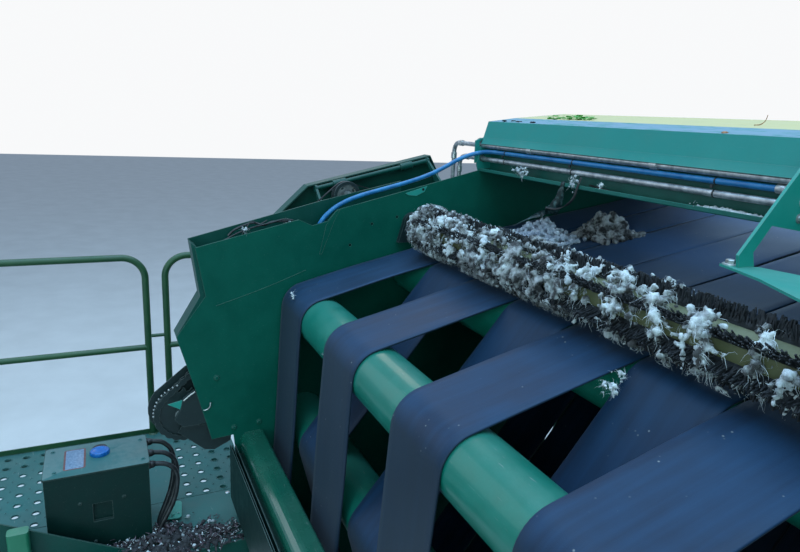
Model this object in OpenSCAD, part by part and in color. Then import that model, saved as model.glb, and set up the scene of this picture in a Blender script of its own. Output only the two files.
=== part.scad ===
// Belt baling unit of a cotton picker: the chamber that rolls picked cotton into a round module.
// X runs along the rollers, Y points to the rear gate, Z is up. The origin lies on the floor,
// under the middle cross beam of the base frame. All sizes are millimetres.

/* [Belts and rollers] */
// Number of flat belts side by side
belt_count = 9; // [5:2:9]
// Distance from one belt to the next
belt_pitch = 270; // [240:5:280]
// Gap between neighbouring belts
belt_gap = 8; // [4:1:20]
// Thickness of a belt
belt_t = 8; // [5:1:10]
// Radius of the bare roller drums
roller_r = 94; // [85:1:98]
// Play between a belt and its rollers
belt_play = 0.3; // [0.2:0.1:1]

/* [Side walls] */
// Free width between the outer belts and each wall
wall_play = 20; // [15:1:40]
// Thickness of the wall sheets
wall_t = 6; // [4:1:10]
// Depth of the drive space between a wall and its outer sheet
drive_gap = 88; // [70:1:110]
// Distance from the inner face of a wall to its shield door
shield_gap = 295; // [280:5:320]

/* [Brush roll] */
// Radius of the core tube
brush_core_r = 50; // [40:1:60]
// Radius over the bristle tips
brush_tip_r = 98; // [85:1:100]
// Number of bristle strips
brush_strips = 6; // [4:1:8]
// Thickness of a bristle strip
brush_strip_t = 14; // [8:1:20]

/* [Rear gate] */
// Radius of the gate's hinge pins
hinge_pin_r = 30; // [20:1:35]
// Radius of the gate cylinder's barrel
barrel_r = 50; // [42:1:55]
// Radius of the gate cylinder's rod
rod_r = 30; // [20:1:32]
// Radius of the pins through the cylinder's eyes
eye_pin_r = 25; // [18:1:28]

/* [Walkway] */
// Height of the deck above the floor
deck_z = 1400; // [1300:10:1450]
// Height of the handrail above the deck
rail_h = 1000; // [900:10:1100]
// Radius of the handrail tube
rail_r = 17; // [14:1:22]
// Radius of the handrail's corner bends
rail_bend_r = 110; // [60:5:160]

/* [Hood] */
// Thickness of the hood's sheet
hood_t = 5; // [3:1:8]
// Radius of the two galvanized pipes in the channel
pipe_r = 17; // [10:1:20]
// Radius of the blue hose
hose_r = 13; // [8:1:16]

/* [Base frame] */
// Height of the base frame's side rails
rail_beam_h = 150; // [120:5:200]
// Width of the base frame's side rails
rail_beam_w = 100; // [80:5:140]
// Radius of the bolt holes in the feet
foot_hole_r = 11; // [8:0.5:14]
// Distance between the front and rear feet
foot_span_y = 1950; // [1800:10:2000]

/* [Hidden] */
$fn = 48;
eps = 0.05;

// Colours as seen on the machine
green = [0.05, 0.33, 0.24];
teal = [0.13, 0.48, 0.44];
drum_green = [0.07, 0.45, 0.33];
rubber = [0.07, 0.08, 0.11];
dark = [0.04, 0.06, 0.07];
zinc = [0.66, 0.68, 0.70];
olive = [0.33, 0.36, 0.20];
bristle = [0.10, 0.11, 0.12];
hose_blue = [0.08, 0.32, 0.68];
chrome = [0.80, 0.81, 0.83];

// Half the width between the walls, and what follows from it
belt_w = belt_pitch - belt_gap;
belts_x0 = -belt_count * belt_pitch / 2;
wall_x = belt_count * belt_pitch / 2 + wall_play;
wall_out_x = wall_x + wall_t;
sheet_x = wall_out_x + drive_gap;
shield_x = wall_x + shield_gap;
drum_end_gap = 12;
stub_r = 35;

// Roller axes as [y, z]
roller_top_front = [-1000, 2350];
roller_crest = [-500, 2472];
roller_top_rear = [850, 2704];
roller_dive = [-1000, 1850];
roller_front_low = [-1060, 1200];
roller_feed = [-700, 730];
roller_floor_front = [-60, 215];
roller_floor_rear = [660, 215];
gate_roller_top = [1130, 2600];
gate_roller_upper = [1430, 2300];
gate_roller_rear = [1560, 1620];
gate_roller_low = [1310, 640];

// Endless belts go round these rollers, listed anticlockwise as seen from the right side
long_path = [roller_top_rear, roller_crest, roller_top_front, roller_front_low, roller_feed];
dive_path = [roller_top_rear, roller_crest, roller_dive, roller_feed];
gate_path = [gate_roller_low, gate_roller_rear, gate_roller_upper, gate_roller_top];

// Outline of a fixed side wall as [y, z], from its front top corner backwards
notch = [[-1024, 2708], [-967, 2682], [-903, 2698], [-860, 2746]];
wall_low = [[-144, 2927], [330, 2945], [880, 2961], [880, 2560], [335, 1280], [975, 430],
    [975, 100], [-900, 100], [-1130, 700], [-1260, 1400], [-1300, 1790], [-1390, 1784],
    [-1450, 2020], [-1515, 2250], [-1400, 2411]];
wall_corner = [-1435, 2607];
sheet_outline = [[-1450, 2627], [-893, 2774], [-529, 2858], [-529, 2300], [-1180, 1790],
    [-1390, 1784], [-1450, 2020], [-1515, 2250], [-1420, 2411]];
gate_outline = [[905, 2556], [905, 2880], [960, 2912], [1080, 2850], [1560, 2330], [1720, 1760],
    [1500, 520], [1220, 430], [1000, 450], [370, 1300]];
shield_outline = [[-1057, 2684], [-917, 2818], [-309, 2965], [-259, 2880], [-259, 1500],
    [-1057, 1500]];

// Gate hinge and cylinder pins as [y, z]
gate_hinge = [950, 2860];
barrel_pin = [-150, 1800];
rod_pin = [1010, 2290];
cylinder_x = 1400;
cylinder_angle = atan2(rod_pin[1] - barrel_pin[1], rod_pin[0] - barrel_pin[0]);
cylinder_len = norm(rod_pin - barrel_pin);

// Brush roll, pipes and hood as [y, z]
brush_axis = [-510, 2685];
pipe_upper = [-163, 3037];
pipe_lower = [-160, 2974];
channel_lip = [-176, 2941];
hood_profile = [[-163, 3060], [-141, 3137], [0, 3158], [280, 3190], [330, 3160], [330, 2946]];
rear_cover = [[326, 2945], [880, 2961], [880, 2966], [326, 2950]];

// Walkway extents
deck_x0 = -2125;
deck_x1 = -1060;
deck_y0 = -2500;
deck_y1 = -1270;
deck_outer_y1 = -1190;
rail_x = deck_x0 + 25;
grip_split_x = -1435;
grip_rows = [0, 1, 2, 3, 6, 7, 8, 9, 10, 11, 12, 13, 14, 15];

// Drive wheels as [y, z]
chain_low = [-1492, 1898];
pulley_pos = [-761, 2789];
chain_x = wall_out_x + 44;

// Centre line of the blue hose, from its fitting in the channel to the notch in the left wall
hose_points = [[200, -161, 3006], [-200, -161, 3006], [-640, -161, 3006], [-900, -161, 3006],
    [-1030, -161, 3006], [-1097, -161, 3006], [-1154, -164, 3006], [-1207, -184, 3001],
    [-1244, -225, 2986], [-1261, -279, 2961], [-1264, -338, 2930], [-1264, -402, 2900],
    [-1264, -480, 2872], [-1264, -570, 2847], [-1264, -660, 2824], [-1264, -740, 2803],
    [-1264, -810, 2778], [-1264, -870, 2744], [-1264, -915, 2700], [-1264, -942, 2646],
    [-1264, -951, 2588], [-1264, -951, 2530]];

// A profile given as [y, z] points, extruded along X from x0 over width w
module across(x0, w) {
    translate([x0, 0, 0]) rotate([90, 0, 90]) linear_extrude(w) children();
}

// A round bar along X at p = [y, z]
module bar(p, x0, w, r) {
    translate([x0, p[0], p[1]]) rotate([0, 90, 0]) cylinder(h = w, r = r);
}

// Children as modelled on the left side, or their mirror image on the right
module side(s) {
    if (s < 0) children();
    else mirror([1, 0, 0]) children();
}

// A straight round bar between two points in space
module rod(a, b, r) {
    d = b - a;
    translate(a) rotate([0, acos(d[2] / norm(d)), atan2(d[1], d[0])]) cylinder(h = norm(d), r = r);
}

// Outline of a belt round rollers of one radius, with facets that stay outside that radius
arc_steps = 6;
function heading(a, b) = atan2(b[1] - a[1], b[0] - a[0]);
function turn(a, b) = (b - a + 720) % 360;
function loop(path, r) = [
    for (i = [0:len(path) - 1])
        let (before = path[(i + len(path) - 1) % len(path)], after = path[(i + 1) % len(path)],
            a0 = heading(before, path[i]), swing = turn(a0, heading(path[i], after)),
            reach = r / cos(swing / arc_steps / 2))
            for (k = [0:arc_steps])
                path[i] + reach * [sin(a0 + swing * k / arc_steps), -cos(a0 + swing * k / arc_steps)]];

module belt(path, index) {
    across(belts_x0 + index * belt_pitch + belt_gap / 2, belt_w) difference() {
        polygon(loop(path, roller_r + belt_play + belt_t));
        polygon(loop(path, roller_r + belt_play));
    }
}

// A roller drum with its stub shaft, which meets both walls
module drum(p) {
    bar(p, -wall_x + drum_end_gap, 2 * (wall_x - drum_end_gap), roller_r);
    bar(p, -wall_x, 2 * wall_x, stub_r);
}

// Bearing housings on the outer face of a wall, one for each roller it carries
housing_r = 62;
housing_t = 26;
module housings(points) {
    for (p = points) {
        bar(p, -wall_out_x - housing_t, housing_t, housing_r);
        bar(p, -wall_out_x - housing_t - 12, 12, housing_r * 0.6);
    }
}

// A rim of thin strips standing inwards along the edges of an outline
module rim(points, x0, depth, t) {
    for (i = [0:len(points) - 1]) {
        a = points[i];
        b = points[(i + 1) % len(points)];
        d = b - a;
        inward = [d[1], -d[0]] / norm(d) * t;
        across(x0, depth) polygon([a, b, b + inward, a + inward]);
    }
}

// Smooth curve through hand-chosen points, and a round tube swept along it
function spline_at(p, i, t) = let (
        a = p[max(i - 1, 0)], b = p[i], c = p[i + 1], d = p[min(i + 2, len(p) - 1)])
    0.5 * (2 * b + (c - a) * t + (2 * a - 5 * b + 4 * c - d) * t * t
        + (3 * b - a - 3 * c + d) * t * t * t);
function curve(p, steps) = concat(
    [for (i = [0:len(p) - 2]) for (k = [0:steps - 1]) spline_at(p, i, k / steps)],
    [p[len(p) - 1]]);
function unit(v) = v / norm(v);
function ring(c, dir, r, sides) = let (
        across_dir = unit(cross(dir, abs(dir[2]) > 0.9 ? [0, 1, 0] : [0, 0, 1])),
        up_dir = cross(across_dir, dir))
    [for (k = [0:sides - 1]) c + r * (cos(360 * k / sides) * across_dir + sin(360 * k / sides) * up_dir)];
module tube_along(points, r, sides, steps) {
    line = curve(points, steps);
    last = len(line) - 1;
    rings = [for (i = [0:last])
        each ring(line[i], unit(line[min(i + 1, last)] - line[max(i - 1, 0)]), r, sides)];
    walls = [for (i = [0:last - 1]) for (k = [0:sides - 1]) let (n = (k + 1) % sides)
        [i * sides + k, i * sides + n, (i + 1) * sides + n, (i + 1) * sides + k]];
    ends = [[for (k = [sides - 1:-1:0]) k], [for (k = [0:sides - 1]) last * sides + k]];
    polyhedron(points = rings, faces = concat(walls, ends), convexity = 6);
}

// Base frame: side rails, cross beams and feet with bolt holes
beam_y = [-1150, -50, 850];
rail_y0 = -1150;
rail_y1 = 1000;
foot_t = 15;
foot_w = 90;
foot_y_mid = -75;
module base_frame() {
    color(green) difference() {
        union() {
            for (s = [-1, 1]) side(s) {
                translate([-wall_out_x - rail_beam_w, rail_y0, 0])
                    cube([rail_beam_w, rail_y1 - rail_y0, rail_beam_h]);
                for (y = [-1, 1]) translate([-wall_out_x - rail_beam_w - foot_w,
                    foot_y_mid + y * foot_span_y / 2 - foot_w / 2, 0])
                    cube([foot_w + 1, foot_w, foot_t]);
            }
            for (y = beam_y) translate([-wall_out_x - 1, y, 0]) cube([2 * wall_out_x + 2, 100, 100]);
        }
        for (s = [-1, 1]) for (y = [-1, 1])
            translate([s * (wall_out_x + rail_beam_w + foot_w / 2),
                foot_y_mid + y * foot_span_y / 2, -1])
                cylinder(h = foot_t + 2, r = foot_hole_r);
    }
}

// Side walls with bearing housings and a few small holes under the hose
fixed_rollers = [roller_top_front, roller_crest, roller_top_rear, roller_dive,
    roller_front_low, roller_feed, roller_floor_front, roller_floor_rear];
wall_holes = [[-798, 2593], [-700, 2682], [-582, 2710], [-541, 2704]];
wall_hole_r = 6;
module wall(with_notch) {
    across(-wall_out_x, wall_t) difference() {
        polygon(concat([wall_corner], with_notch ? notch : [], wall_low));
        for (p = wall_holes) translate(p) circle(r = wall_hole_r, $fn = 16);
    }
    housings(fixed_rollers);
}
module left_wall() { color(green) wall(true); }
module right_wall() { color(green) side(1) wall(false); }

// Outer sheet of a wall's front, joined to the wall by webs along its bottom and its front edge
web_inner = [[-1427, 2608], [-1392, 2411], [-1505, 2252]];
web_low_end = [-1335, 1785.5];
module outer_sheet() {
    across(-sheet_x, wall_t) polygon(sheet_outline);
    across(-sheet_x, drive_gap) polygon([sheet_outline[4], web_low_end, web_low_end + [0, wall_t],
        sheet_outline[4] + [0, wall_t]]);
    across(-sheet_x, drive_gap)
        polygon(concat([sheet_outline[7], sheet_outline[8], sheet_outline[0]], web_inner));
}
module left_wall_outer_sheet() { color(green) outer_sheet(); }
module right_wall_outer_sheet() { color(green) side(1) outer_sheet(); }

// Bent cross channel in front of the belts, with the folded apron and its ribs under it
channel_front = [-1275, 1794];
channel_back = [-1172, 1794];
channel_bend = 46;
channel_back_bend = 14;
channel_sheet = 6;
apron_top = [-1317, 1748];
apron_low = [-1400, 1422];
apron_fold = [-1317, 1694];
apron_t = 5;
apron_lip_t = 3;
rib_lines = [-1309, -1296];
rib_h = 49;
function bend_arc(c, r, from, to) = [
    for (k = [0:8]) let (t = from + (to - from) * k / 8) c + r * [cos(t), sin(t)]];
module front_cross_channel() {
    bend_at = channel_front + [channel_bend, -channel_bend];
    back_at = channel_back + [-channel_back_bend, -channel_back_bend];
    foot_z = apron_fold[1];
    color(green) across(-wall_x, 2 * wall_x) polygon(concat(
        [[channel_front[0], foot_z]],
        bend_arc(bend_at, channel_bend, 180, 90),
        bend_arc(back_at, channel_back_bend, 90, 0),
        [[channel_back[0], 1765], [channel_back[0] - channel_sheet, 1765]],
        bend_arc(back_at, channel_back_bend - channel_sheet, 0, 90),
        bend_arc(bend_at, channel_bend - channel_sheet, 90, 180),
        [[channel_front[0] + channel_sheet, foot_z]]));
}
module front_apron() {
    foot = apron_fold[1];
    color(green) {
        across(-wall_x, 2 * wall_x) polygon([apron_top, apron_top + [apron_lip_t, 0],
            [apron_top[0] + apron_lip_t, foot + 4], [channel_front[0], foot + 4],
            [channel_front[0], foot], apron_fold + [apron_t, 0], apron_low + [apron_t, 0],
            apron_low, apron_fold]);
        for (y = rib_lines)
            across(-wall_x, 2 * wall_x) translate([y, foot + 2]) square([apron_lip_t, rib_h]);
    }
}

// Rollers
module upper_rollers() {
    color(drum_green) for (p = [roller_top_front, roller_crest, roller_top_rear]) drum(p);
}
module front_rollers() {
    color(drum_green) for (p = [roller_dive, roller_front_low, roller_feed]) drum(p);
}
module floor_rollers() {
    color(zinc) for (p = [roller_floor_front, roller_floor_rear]) drum(p);
}

// Belts: the even places run over the front roller, the odd places dive between them
module long_belts() {
    color(rubber) for (i = [0:2:belt_count - 1]) belt(long_path, i);
}
module dive_belts() {
    color(rubber) for (i = [1:2:belt_count - 1]) belt(dive_path, i);
}

// Sheet floor that leads the cotton in under the feed roller
module feed_floor() {
    color(green) across(-wall_x, 2 * wall_x)
        polygon([[-1130, 330], [-200, 230], [-170, 236], [-170, 242], [-200, 238], [-1130, 338]]);
}

// Brush roll over the crest roller
block_t = 24;
module brush_bearings() {
    color(dark) for (s = [-1, 1]) side(s) difference() {
        union() {
            bar(brush_axis, -wall_x, block_t, 46);
            across(-wall_x, block_t) polygon([[-556, 2685], [-464, 2685], [-440, 2600], [-580, 2600]]);
        }
        bar(brush_axis, -wall_x - 1, block_t + 2, 20.05);
    }
}
brush_len = 2 * (wall_x - 115);
module brush_core() {
    color(olive) {
        bar(brush_axis, -brush_len / 2, brush_len, brush_core_r);
        bar(brush_axis, -wall_x + 2, 2 * wall_x - 4, 20);
    }
}
module brush_bristles() {
    color(bristle) for (k = [0:brush_strips - 1])
        translate([0, brush_axis[0], brush_axis[1]]) rotate([360 * k / brush_strips, 0, 0])
            translate([-brush_len / 2 + 10, -brush_strip_t / 2, brush_core_r])
                cube([brush_len - 20, brush_strip_t, brush_tip_r - brush_core_r]);
}

// Hood over the gate hinge
hood_x = wall_out_x;
module hood_cover() {
    n = len(hood_profile) - 1;
    color(teal) for (i = [0:n - 1]) {
        a = hood_profile[i];
        b = hood_profile[i + 1];
        inward = unit([b[1] - a[1], a[0] - b[0]]) * hood_t;
        across(-hood_x, 2 * hood_x) polygon([a, b, b + inward, a + inward]);
    }
    color(teal) across(-hood_x, 2 * hood_x) polygon(rear_cover);
}
channel_back_y = -118;
channel_t = 6;
module hood_channel() {
    color(green) across(-hood_x, 2 * hood_x) {
        translate([channel_back_y, channel_lip[1]]) square([channel_t, 128]);
        translate(channel_lip) square([channel_back_y - channel_lip[0] + 1, channel_t]);
        translate(channel_lip) square([channel_t, 14]);
        translate([-154.5, 3062]) square([channel_back_y + 155.5, channel_t]);
    }
}
clamp_t = 8;
pipe_holes_r = pipe_r + eps;
module hood_end_plate() {
    across(-hood_x - 6, 6) polygon([[-176, 2905], [-190, 2945], [-163, 3060], [-141, 3137],
        [0, 3158], [280, 3190], [330, 3160], [330, 2905]]);
}
module hood_end_plates() {
    color(teal) {
        side(1) hood_end_plate();
        difference() {
            union() {
                hood_end_plate();
                across(-hood_x - 6 - clamp_t, clamp_t) polygon([[-196, 2950], [-200, 3050], [-150, 3068],
                    [-118, 3056], [-122, 2950]]);
            }
            for (p = [pipe_upper, pipe_lower]) bar(p, -hood_x - 30, 40, pipe_holes_r);
        }
    }
}

// Two pipes along the channel, bent down beside the left wall into a fitting block
pipe_bend = 42;
pipe_end_z = 2500;
pipe_drops = [[pipe_upper, 1495], [pipe_lower, 1440]];
block_y0 = -200;
block_h = 60;
module bent_pipe(p, drop_x) {
    bend_z = p[1] - pipe_bend;
    bar(p, -drop_x + pipe_bend, drop_x - pipe_bend + hood_x, pipe_r);
    translate([-drop_x + pipe_bend, p[0], bend_z]) rotate([90, 0, 0]) rotate([0, 0, 90])
        rotate_extrude(angle = 90) translate([pipe_bend, 0]) circle(r = pipe_r);
    translate([-drop_x, p[0], pipe_end_z]) cylinder(r = pipe_r, h = bend_z - pipe_end_z);
}
module galvanized_pipes() {
    // columns of pipe_drops: axis of the pipe, distance of its drop from the middle
    color(zinc) for (row = pipe_drops) bent_pipe(row[0], row[1]);
}
module pipe_fitting_block() {
    color(teal) {
        translate([-1525, block_y0, pipe_end_z - block_h]) cube([1525 - wall_out_x, 80, block_h]);
        across(-wall_out_x - 10, 10) polygon([[-260, 2400], [-260, 2540], [-60, 2540], [-60, 2400]]);
    }
}
module blue_hose() {
    color(hose_blue) tube_along(hose_points, hose_r, 8, 4);
}

// Gusset bracket that hangs from the hood's front, and the curved guide bolted to its foot
bracket_x = 250;
bracket_t = 8;
module hood_bracket() {
    color(teal) across(bracket_x, bracket_t)
        polygon([[-143, 3133], [-164, 3059], [-186, 3050], [-186, 2912], [-303, 2929],
            [-352, 2866], [-340, 2831], [-395, 2831], [-403, 2861], [-230, 3068]]);
}
module curved_guide() {
    color(teal) translate([bracket_x - 40, -420, 2825]) linear_extrude(6) difference() {
        polygon([[0, 20], [60, 0], [140, -30], [420, -190], [470, -190], [470, 190], [60, 90]]);
        translate([230, 60]) circle(r = 45);
    }
}

// Brackets with the bores of the gate hinge
hinge_plate_t = 16;
hinge_gap = 7;
module gate_hinge_brackets() {
    color(green) for (s = [-1, 1]) side(s) difference() {
        union() {
            across(-wall_out_x - hinge_gap - hinge_plate_t, hinge_plate_t)
                polygon([[600, 2785], [870, 2785], [1010, 2810], [1010, 2900], [950, 2930], [600, 2930]]);
            across(-wall_out_x - hinge_gap, hinge_gap)
                polygon([[600, 2785], [860, 2785], [860, 2930], [600, 2930]]);
        }
        bar(gate_hinge, -wall_out_x - 60, 80, hinge_pin_r + eps);
    }
}

// Drive at the left side: a belt pulley and two chain wheels with their chain
module pulley(r, w) {
    rotate([0, 90, 0]) difference() {
        cylinder(h = w, r = r);
        translate([0, 0, w / 2]) rotate_extrude() polygon([[r - 14, 0], [r + 1, -10], [r + 1, 10]]);
        for (k = [0:4]) rotate([0, 0, 72 * k]) translate([r * 0.55, 0, -1]) cylinder(h = w + 2, r = r * 0.2);
    }
}
module drive_pulley() {
    color(dark) {
        translate([-sheet_x - 64, pulley_pos[0], pulley_pos[1]]) pulley(105, 44);
        bar(pulley_pos, -sheet_x - 20, 20, 26);
    }
}
chain_pitch = 31.82;
chain_links = 62;
teeth_low = 21;
teeth_high = 19;
chain_roller_r = 8;
tooth_t = 8;
link_high = 12.5;
link_waist = 8.5;
link_t = 4;
link_x = 6;
chain_high = roller_top_front;
function pitch_radius(teeth) = chain_pitch / 2 / sin(180 / teeth);
low_r = pitch_radius(teeth_low);
high_r = pitch_radius(teeth_high);
chain_span = norm(chain_high - chain_low);
chain_heading = heading(chain_low, chain_high);
chain_lean = asin((low_r - high_r) / chain_span);
straight_len = chain_span * cos(chain_lean);
low_from = chain_heading + 90 - chain_lean;
high_from = chain_heading - 90 + chain_lean;
low_links = (180 + 2 * chain_lean) * teeth_low / 360;
high_links = (180 - 2 * chain_lean) * teeth_high / 360;
straight_links = (chain_links - low_links - high_links) / 2;
straight_pitch = straight_len / straight_links;
function polar(c, r, t) = c + r * [cos(t), sin(t)];
// Centre of chain roller k, counted from where the chain meets the low wheel
function roller_at(k) =
    k < low_links ? polar(chain_low, low_r, low_from + k * 360 / teeth_low)
    : k < low_links + straight_links ? polar(chain_low, low_r, high_from)
        + (k - low_links) * straight_pitch * polar([0, 0], 1, high_from + 90)
    : k < low_links + straight_links + high_links
        ? polar(chain_high, high_r, high_from + (k - low_links - straight_links) * 360 / teeth_high)
    : polar(chain_high, high_r, low_from)
        + (k - low_links - straight_links - high_links) * straight_pitch * polar([0, 0], 1, low_from + 90);
chain_rollers = [for (k = [0:chain_links - 1]) roller_at(k)];
first_high = ceil(low_links + straight_links);
high_phase = high_from + (first_high - low_links - straight_links) * 360 / teeth_high;
// Wheel outline: a round seat for each chain roller and a tooth between two seats
module toothed_wheel(p, teeth, phase, depth) {
    r = pitch_radius(teeth);
    step = 360 / teeth;
    across(-chain_x - depth / 2, depth) polygon([for (k = [0:teeth - 1]) let (t = phase + k * step)
        each concat(
            [for (a = [250, 215, 180, 145, 110]) polar(polar(p, r, t), chain_roller_r + 0.4, t + a)],
            [polar(p, r + 9, t + step * 0.42), polar(p, r + 9, t + step * 0.58)])]);
}
module chain_wheels() {
    color(dark) {
        toothed_wheel(chain_low, teeth_low, low_from, tooth_t);
        bar(chain_low, -chain_x - 20, chain_x + 20 - wall_out_x, 34);
        across(-wall_out_x - 14, 14) polygon([[-1532, 1895], [-1510, 1935],
            [-1497, 1981], [-1452, 2014], [-1400, 2005], [-1345, 1860], [-1500, 1858]]);
        toothed_wheel(chain_high, teeth_high, high_phase, tooth_t);
        bar(chain_high, -chain_x - 16, chain_x + 16 - wall_out_x - housing_t - 12, 40);
    }
}
// Guard plate outside the low wheel, bolted to the inner face of the outer sheet
guard_at = [-1510, 1915];
guard_r = 118;
guard_t = 4;
module chain_guard() {
    color(dark) across(-sheet_x + wall_t, guard_t) polygon(concat(
        [[-1400, 2115], [-1477, 2092]],
        [for (t = [138:12:282]) polar(guard_at, guard_r, t)],
        [[-1385, 1800]]));
}

// One side of the chain's links as a scalloped loop at a distance off the rollers' line
function links_edge(way) = [for (k = [0:chain_links - 1]) let (
        a = chain_rollers[k], b = chain_rollers[(k + 1) % chain_links], along = unit(b - a),
        off = way * [along[1], -along[0]])
    each [a + off * link_high + along * 4, (a + b) / 2 + off * link_waist, b + off * link_high - along * 4]];
module drive_chain() {
    color(dark) {
        for (x = [-chain_x - link_x - link_t, -chain_x + link_x]) across(x, link_t) difference() {
            polygon(links_edge(1));
            polygon(links_edge(-1));
        }
        for (p = chain_rollers)
            across(-chain_x - link_x - 0.5, 2 * link_x + 1)
                polygon([for (t = [0:45:315]) polar(p, chain_roller_r, t)]);
    }
}

// Walkway at the left front: beams, deck plates, handrails and side plate
deck_t = 5;
beam_h = 80;
module deck_beam(x0, y0, x1, y1) {
    translate([x0, y0, deck_z - deck_t - beam_h]) cube([x1 - x0, y1 - y0, beam_h]);
}
beam_w = 50;
strut_x = -wall_out_x - rail_beam_w / 2;
module walkway_frame() {
    color(green) {
        deck_beam(deck_x0, deck_y0, deck_x0 + beam_w, deck_outer_y1);
        deck_beam(grip_split_x - beam_w / 2, deck_y0, grip_split_x + beam_w / 2, deck_outer_y1);
        deck_beam(deck_x1 - beam_w, deck_y0, deck_x1, deck_y1);
        for (y = [deck_y0, (deck_y0 + deck_y1) / 2, deck_y1 - beam_w])
            deck_beam(deck_x0, y, deck_x1, y + beam_w);
        deck_beam(deck_x0, deck_outer_y1 - beam_w, grip_split_x, deck_outer_y1);
        deck_beam(-wall_out_x - 70, deck_y1 - 1, -wall_out_x, -870);
        translate([-wall_out_x - rail_beam_w, rail_y0 - 40, 0]) cube([rail_beam_w, 40, rail_beam_h]);
        rod([strut_x, rail_y0 - 20, 100], [strut_x, deck_y0 + 25, deck_z - deck_t - beam_h / 2], 30);
    }
}
grip_hole_r = 14;
grip_pitch = [84, 77.3];
grip_first = [-1460, -1233];
module walkway_deck() {
    color(teal) {
        translate([0, 0, deck_z - deck_t]) linear_extrude(deck_t) difference() {
            translate([deck_x0, deck_y0]) square([grip_split_x - deck_x0 - 2, deck_outer_y1 - deck_y0]);
            for (i = [0:7]) for (k = grip_rows)
                translate(grip_first - [i * grip_pitch[0], k * grip_pitch[1]])
                    circle(r = grip_hole_r, $fn = 24);
        }
        translate([grip_split_x + 2, deck_y0, deck_z - deck_t])
            cube([deck_x1 - grip_split_x - 2, deck_y1 - deck_y0, deck_t]);
    }
}

// One handrail section along Y with bent corners, its posts and a middle rail
module rail_section(y0, y1) {
    top = deck_z + rail_h - rail_r;
    rod([rail_x, y0 + rail_bend_r, top], [rail_x, y1 - rail_bend_r, top], rail_r);
    for (end = [[y0, 1], [y1, -1]]) {
        y = end[0];
        rod([rail_x, y, deck_z], [rail_x, y, top - rail_bend_r], rail_r);
        translate([rail_x, y + end[1] * rail_bend_r, top - rail_bend_r])
            rotate([90, 0, 90]) rotate([0, 0, end[1] > 0 ? 90 : 0]) rotate_extrude(angle = 90)
                translate([rail_bend_r, 0]) circle(r = rail_r);
    }
    rod([rail_x, y0, deck_z + rail_h / 2], [rail_x, y1, deck_z + rail_h / 2], rail_r * 0.9);
}
module handrails() {
    color(green) {
        rail_section(deck_y0 + rail_r + 5, -1570);
        rail_section(-1475, deck_outer_y1 - rail_r);
        rod([rail_x, -1570, deck_z + rail_h * 0.56], [rail_x, -1475, deck_z + rail_h * 0.56], 9);
    }
}
module walkway_side_plate() {
    color(green) across(-1150, 6)
        polygon([[deck_y0, deck_z], [-1720, deck_z], [-2059, 1587], [deck_y0, 1835]]);
}

// Control box on the deck, with its cap and three cables
box_x0 = -1430;
box_x1 = -1200;
box_y0 = -2010;
box_y1 = -1640;
box_h = 350;
box_lip = 4;
module control_box() {
    color(green) difference() {
        union() {
            translate([box_x0, box_y0, deck_z]) cube([box_x1 - box_x0, box_y1 - box_y0, box_h]);
            translate([box_x0 - box_lip, box_y0 - box_lip, deck_z + box_h - 5])
                cube([box_x1 - box_x0 + 2 * box_lip, box_y1 - box_y0 + 2 * box_lip, 5]);
        }
        translate([box_x1 - 14, -1850, deck_z + 130]) cube([20, 70, 80]);
    }
}
cap_pos = [-1345, -1815];
module box_cap() {
    color(hose_blue) translate([cap_pos[0], cap_pos[1], deck_z + box_h]) {
        cylinder(h = 22, r = 34);
        translate([0, 0, 22]) cylinder(h = 10, r1 = 34, r2 = 22);
    }
}
cable_table = [[-1405, 1728, 108], [-1330, 1716, 114], [-1265, 1700, 110]];
cable_course = [[0, 0, 0], [0.26, 0, 0], [0.62, 0.030, 0.03], [0.89, 0.115, 0.09], [1, 0.235, 0.18],
    [0.98, 0.360, 0.31], [0.91, 0.485, 0.46], [0.79, 0.605, 0.62], [0.64, 0.705, 0.77],
    [0.50, 0.790, 0.88], [0.385, 0.860, 0.955], [0.31, 0.930, 1], [0.31, 1, 1]];
cable_r = 10;
cable_end_gap = 1;
cable_foot = [-1250, 26];
module box_cables() {
    // columns of cable_table: x and height of the cable at the box, how far it reaches out
    // columns of cable_course: share of the reach, share of the drop, share of the way to its foot
    color(dark) for (i = [0:2]) {
        c = cable_table[i];
        foot_x = cable_foot[0] + (i - 1) * cable_foot[1];
        drop = c[1] - deck_z - cable_end_gap;
        tube_along([for (p = cable_course)
            [c[0] + (foot_x - c[0]) * p[2], box_y1 + cable_end_gap + c[2] * p[0], c[1] - drop * p[1]]],
            cable_r, 10, 4);
    }
}

// Rear gate: side plates, cross tubes, rollers and belts
boss_t = 40;
gate_rollers_list = [gate_roller_top, gate_roller_upper, gate_roller_rear, gate_roller_low];
module gate_sides() {
    color(green) for (s = [-1, 1]) side(s) {
        difference() {
            across(-wall_out_x, wall_t) polygon(gate_outline);
            bar(gate_hinge, -wall_out_x - 1, wall_t + 2, hinge_pin_r + eps);
        }
        housings(gate_rollers_list);
        bar(rod_pin, -wall_out_x - boss_t, boss_t, 60);
    }
}
pin_boss_t = 18;
gate_tube_r = 30;
gate_tube_list = [[1054, 2800], [1672, 1770], [1462, 585]];
module gate_cross_tubes() {
    color(green) {
        for (s = [-1, 1]) side(s) {
            bar(gate_hinge, -wall_x, pin_boss_t, hinge_pin_r + 20);
            bar(gate_hinge, -wall_x - 50, 50, hinge_pin_r);
        }
        for (p = gate_tube_list) bar(p, -wall_x, 2 * wall_x, gate_tube_r);
    }
}
module gate_rollers() {
    color(drum_green) for (p = gate_rollers_list) drum(p);
}
module gate_belts() {
    color(rubber) for (i = [0:belt_count - 1]) belt(gate_path, i);
}
module gate_apron() {
    color(green) across(-wall_x, 2 * wall_x)
        polygon([[1006, 2880], [1076, 2846], [1330, 2570], [1336, 2575], [1080, 2851], [1009, 2885]]);
}

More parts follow.
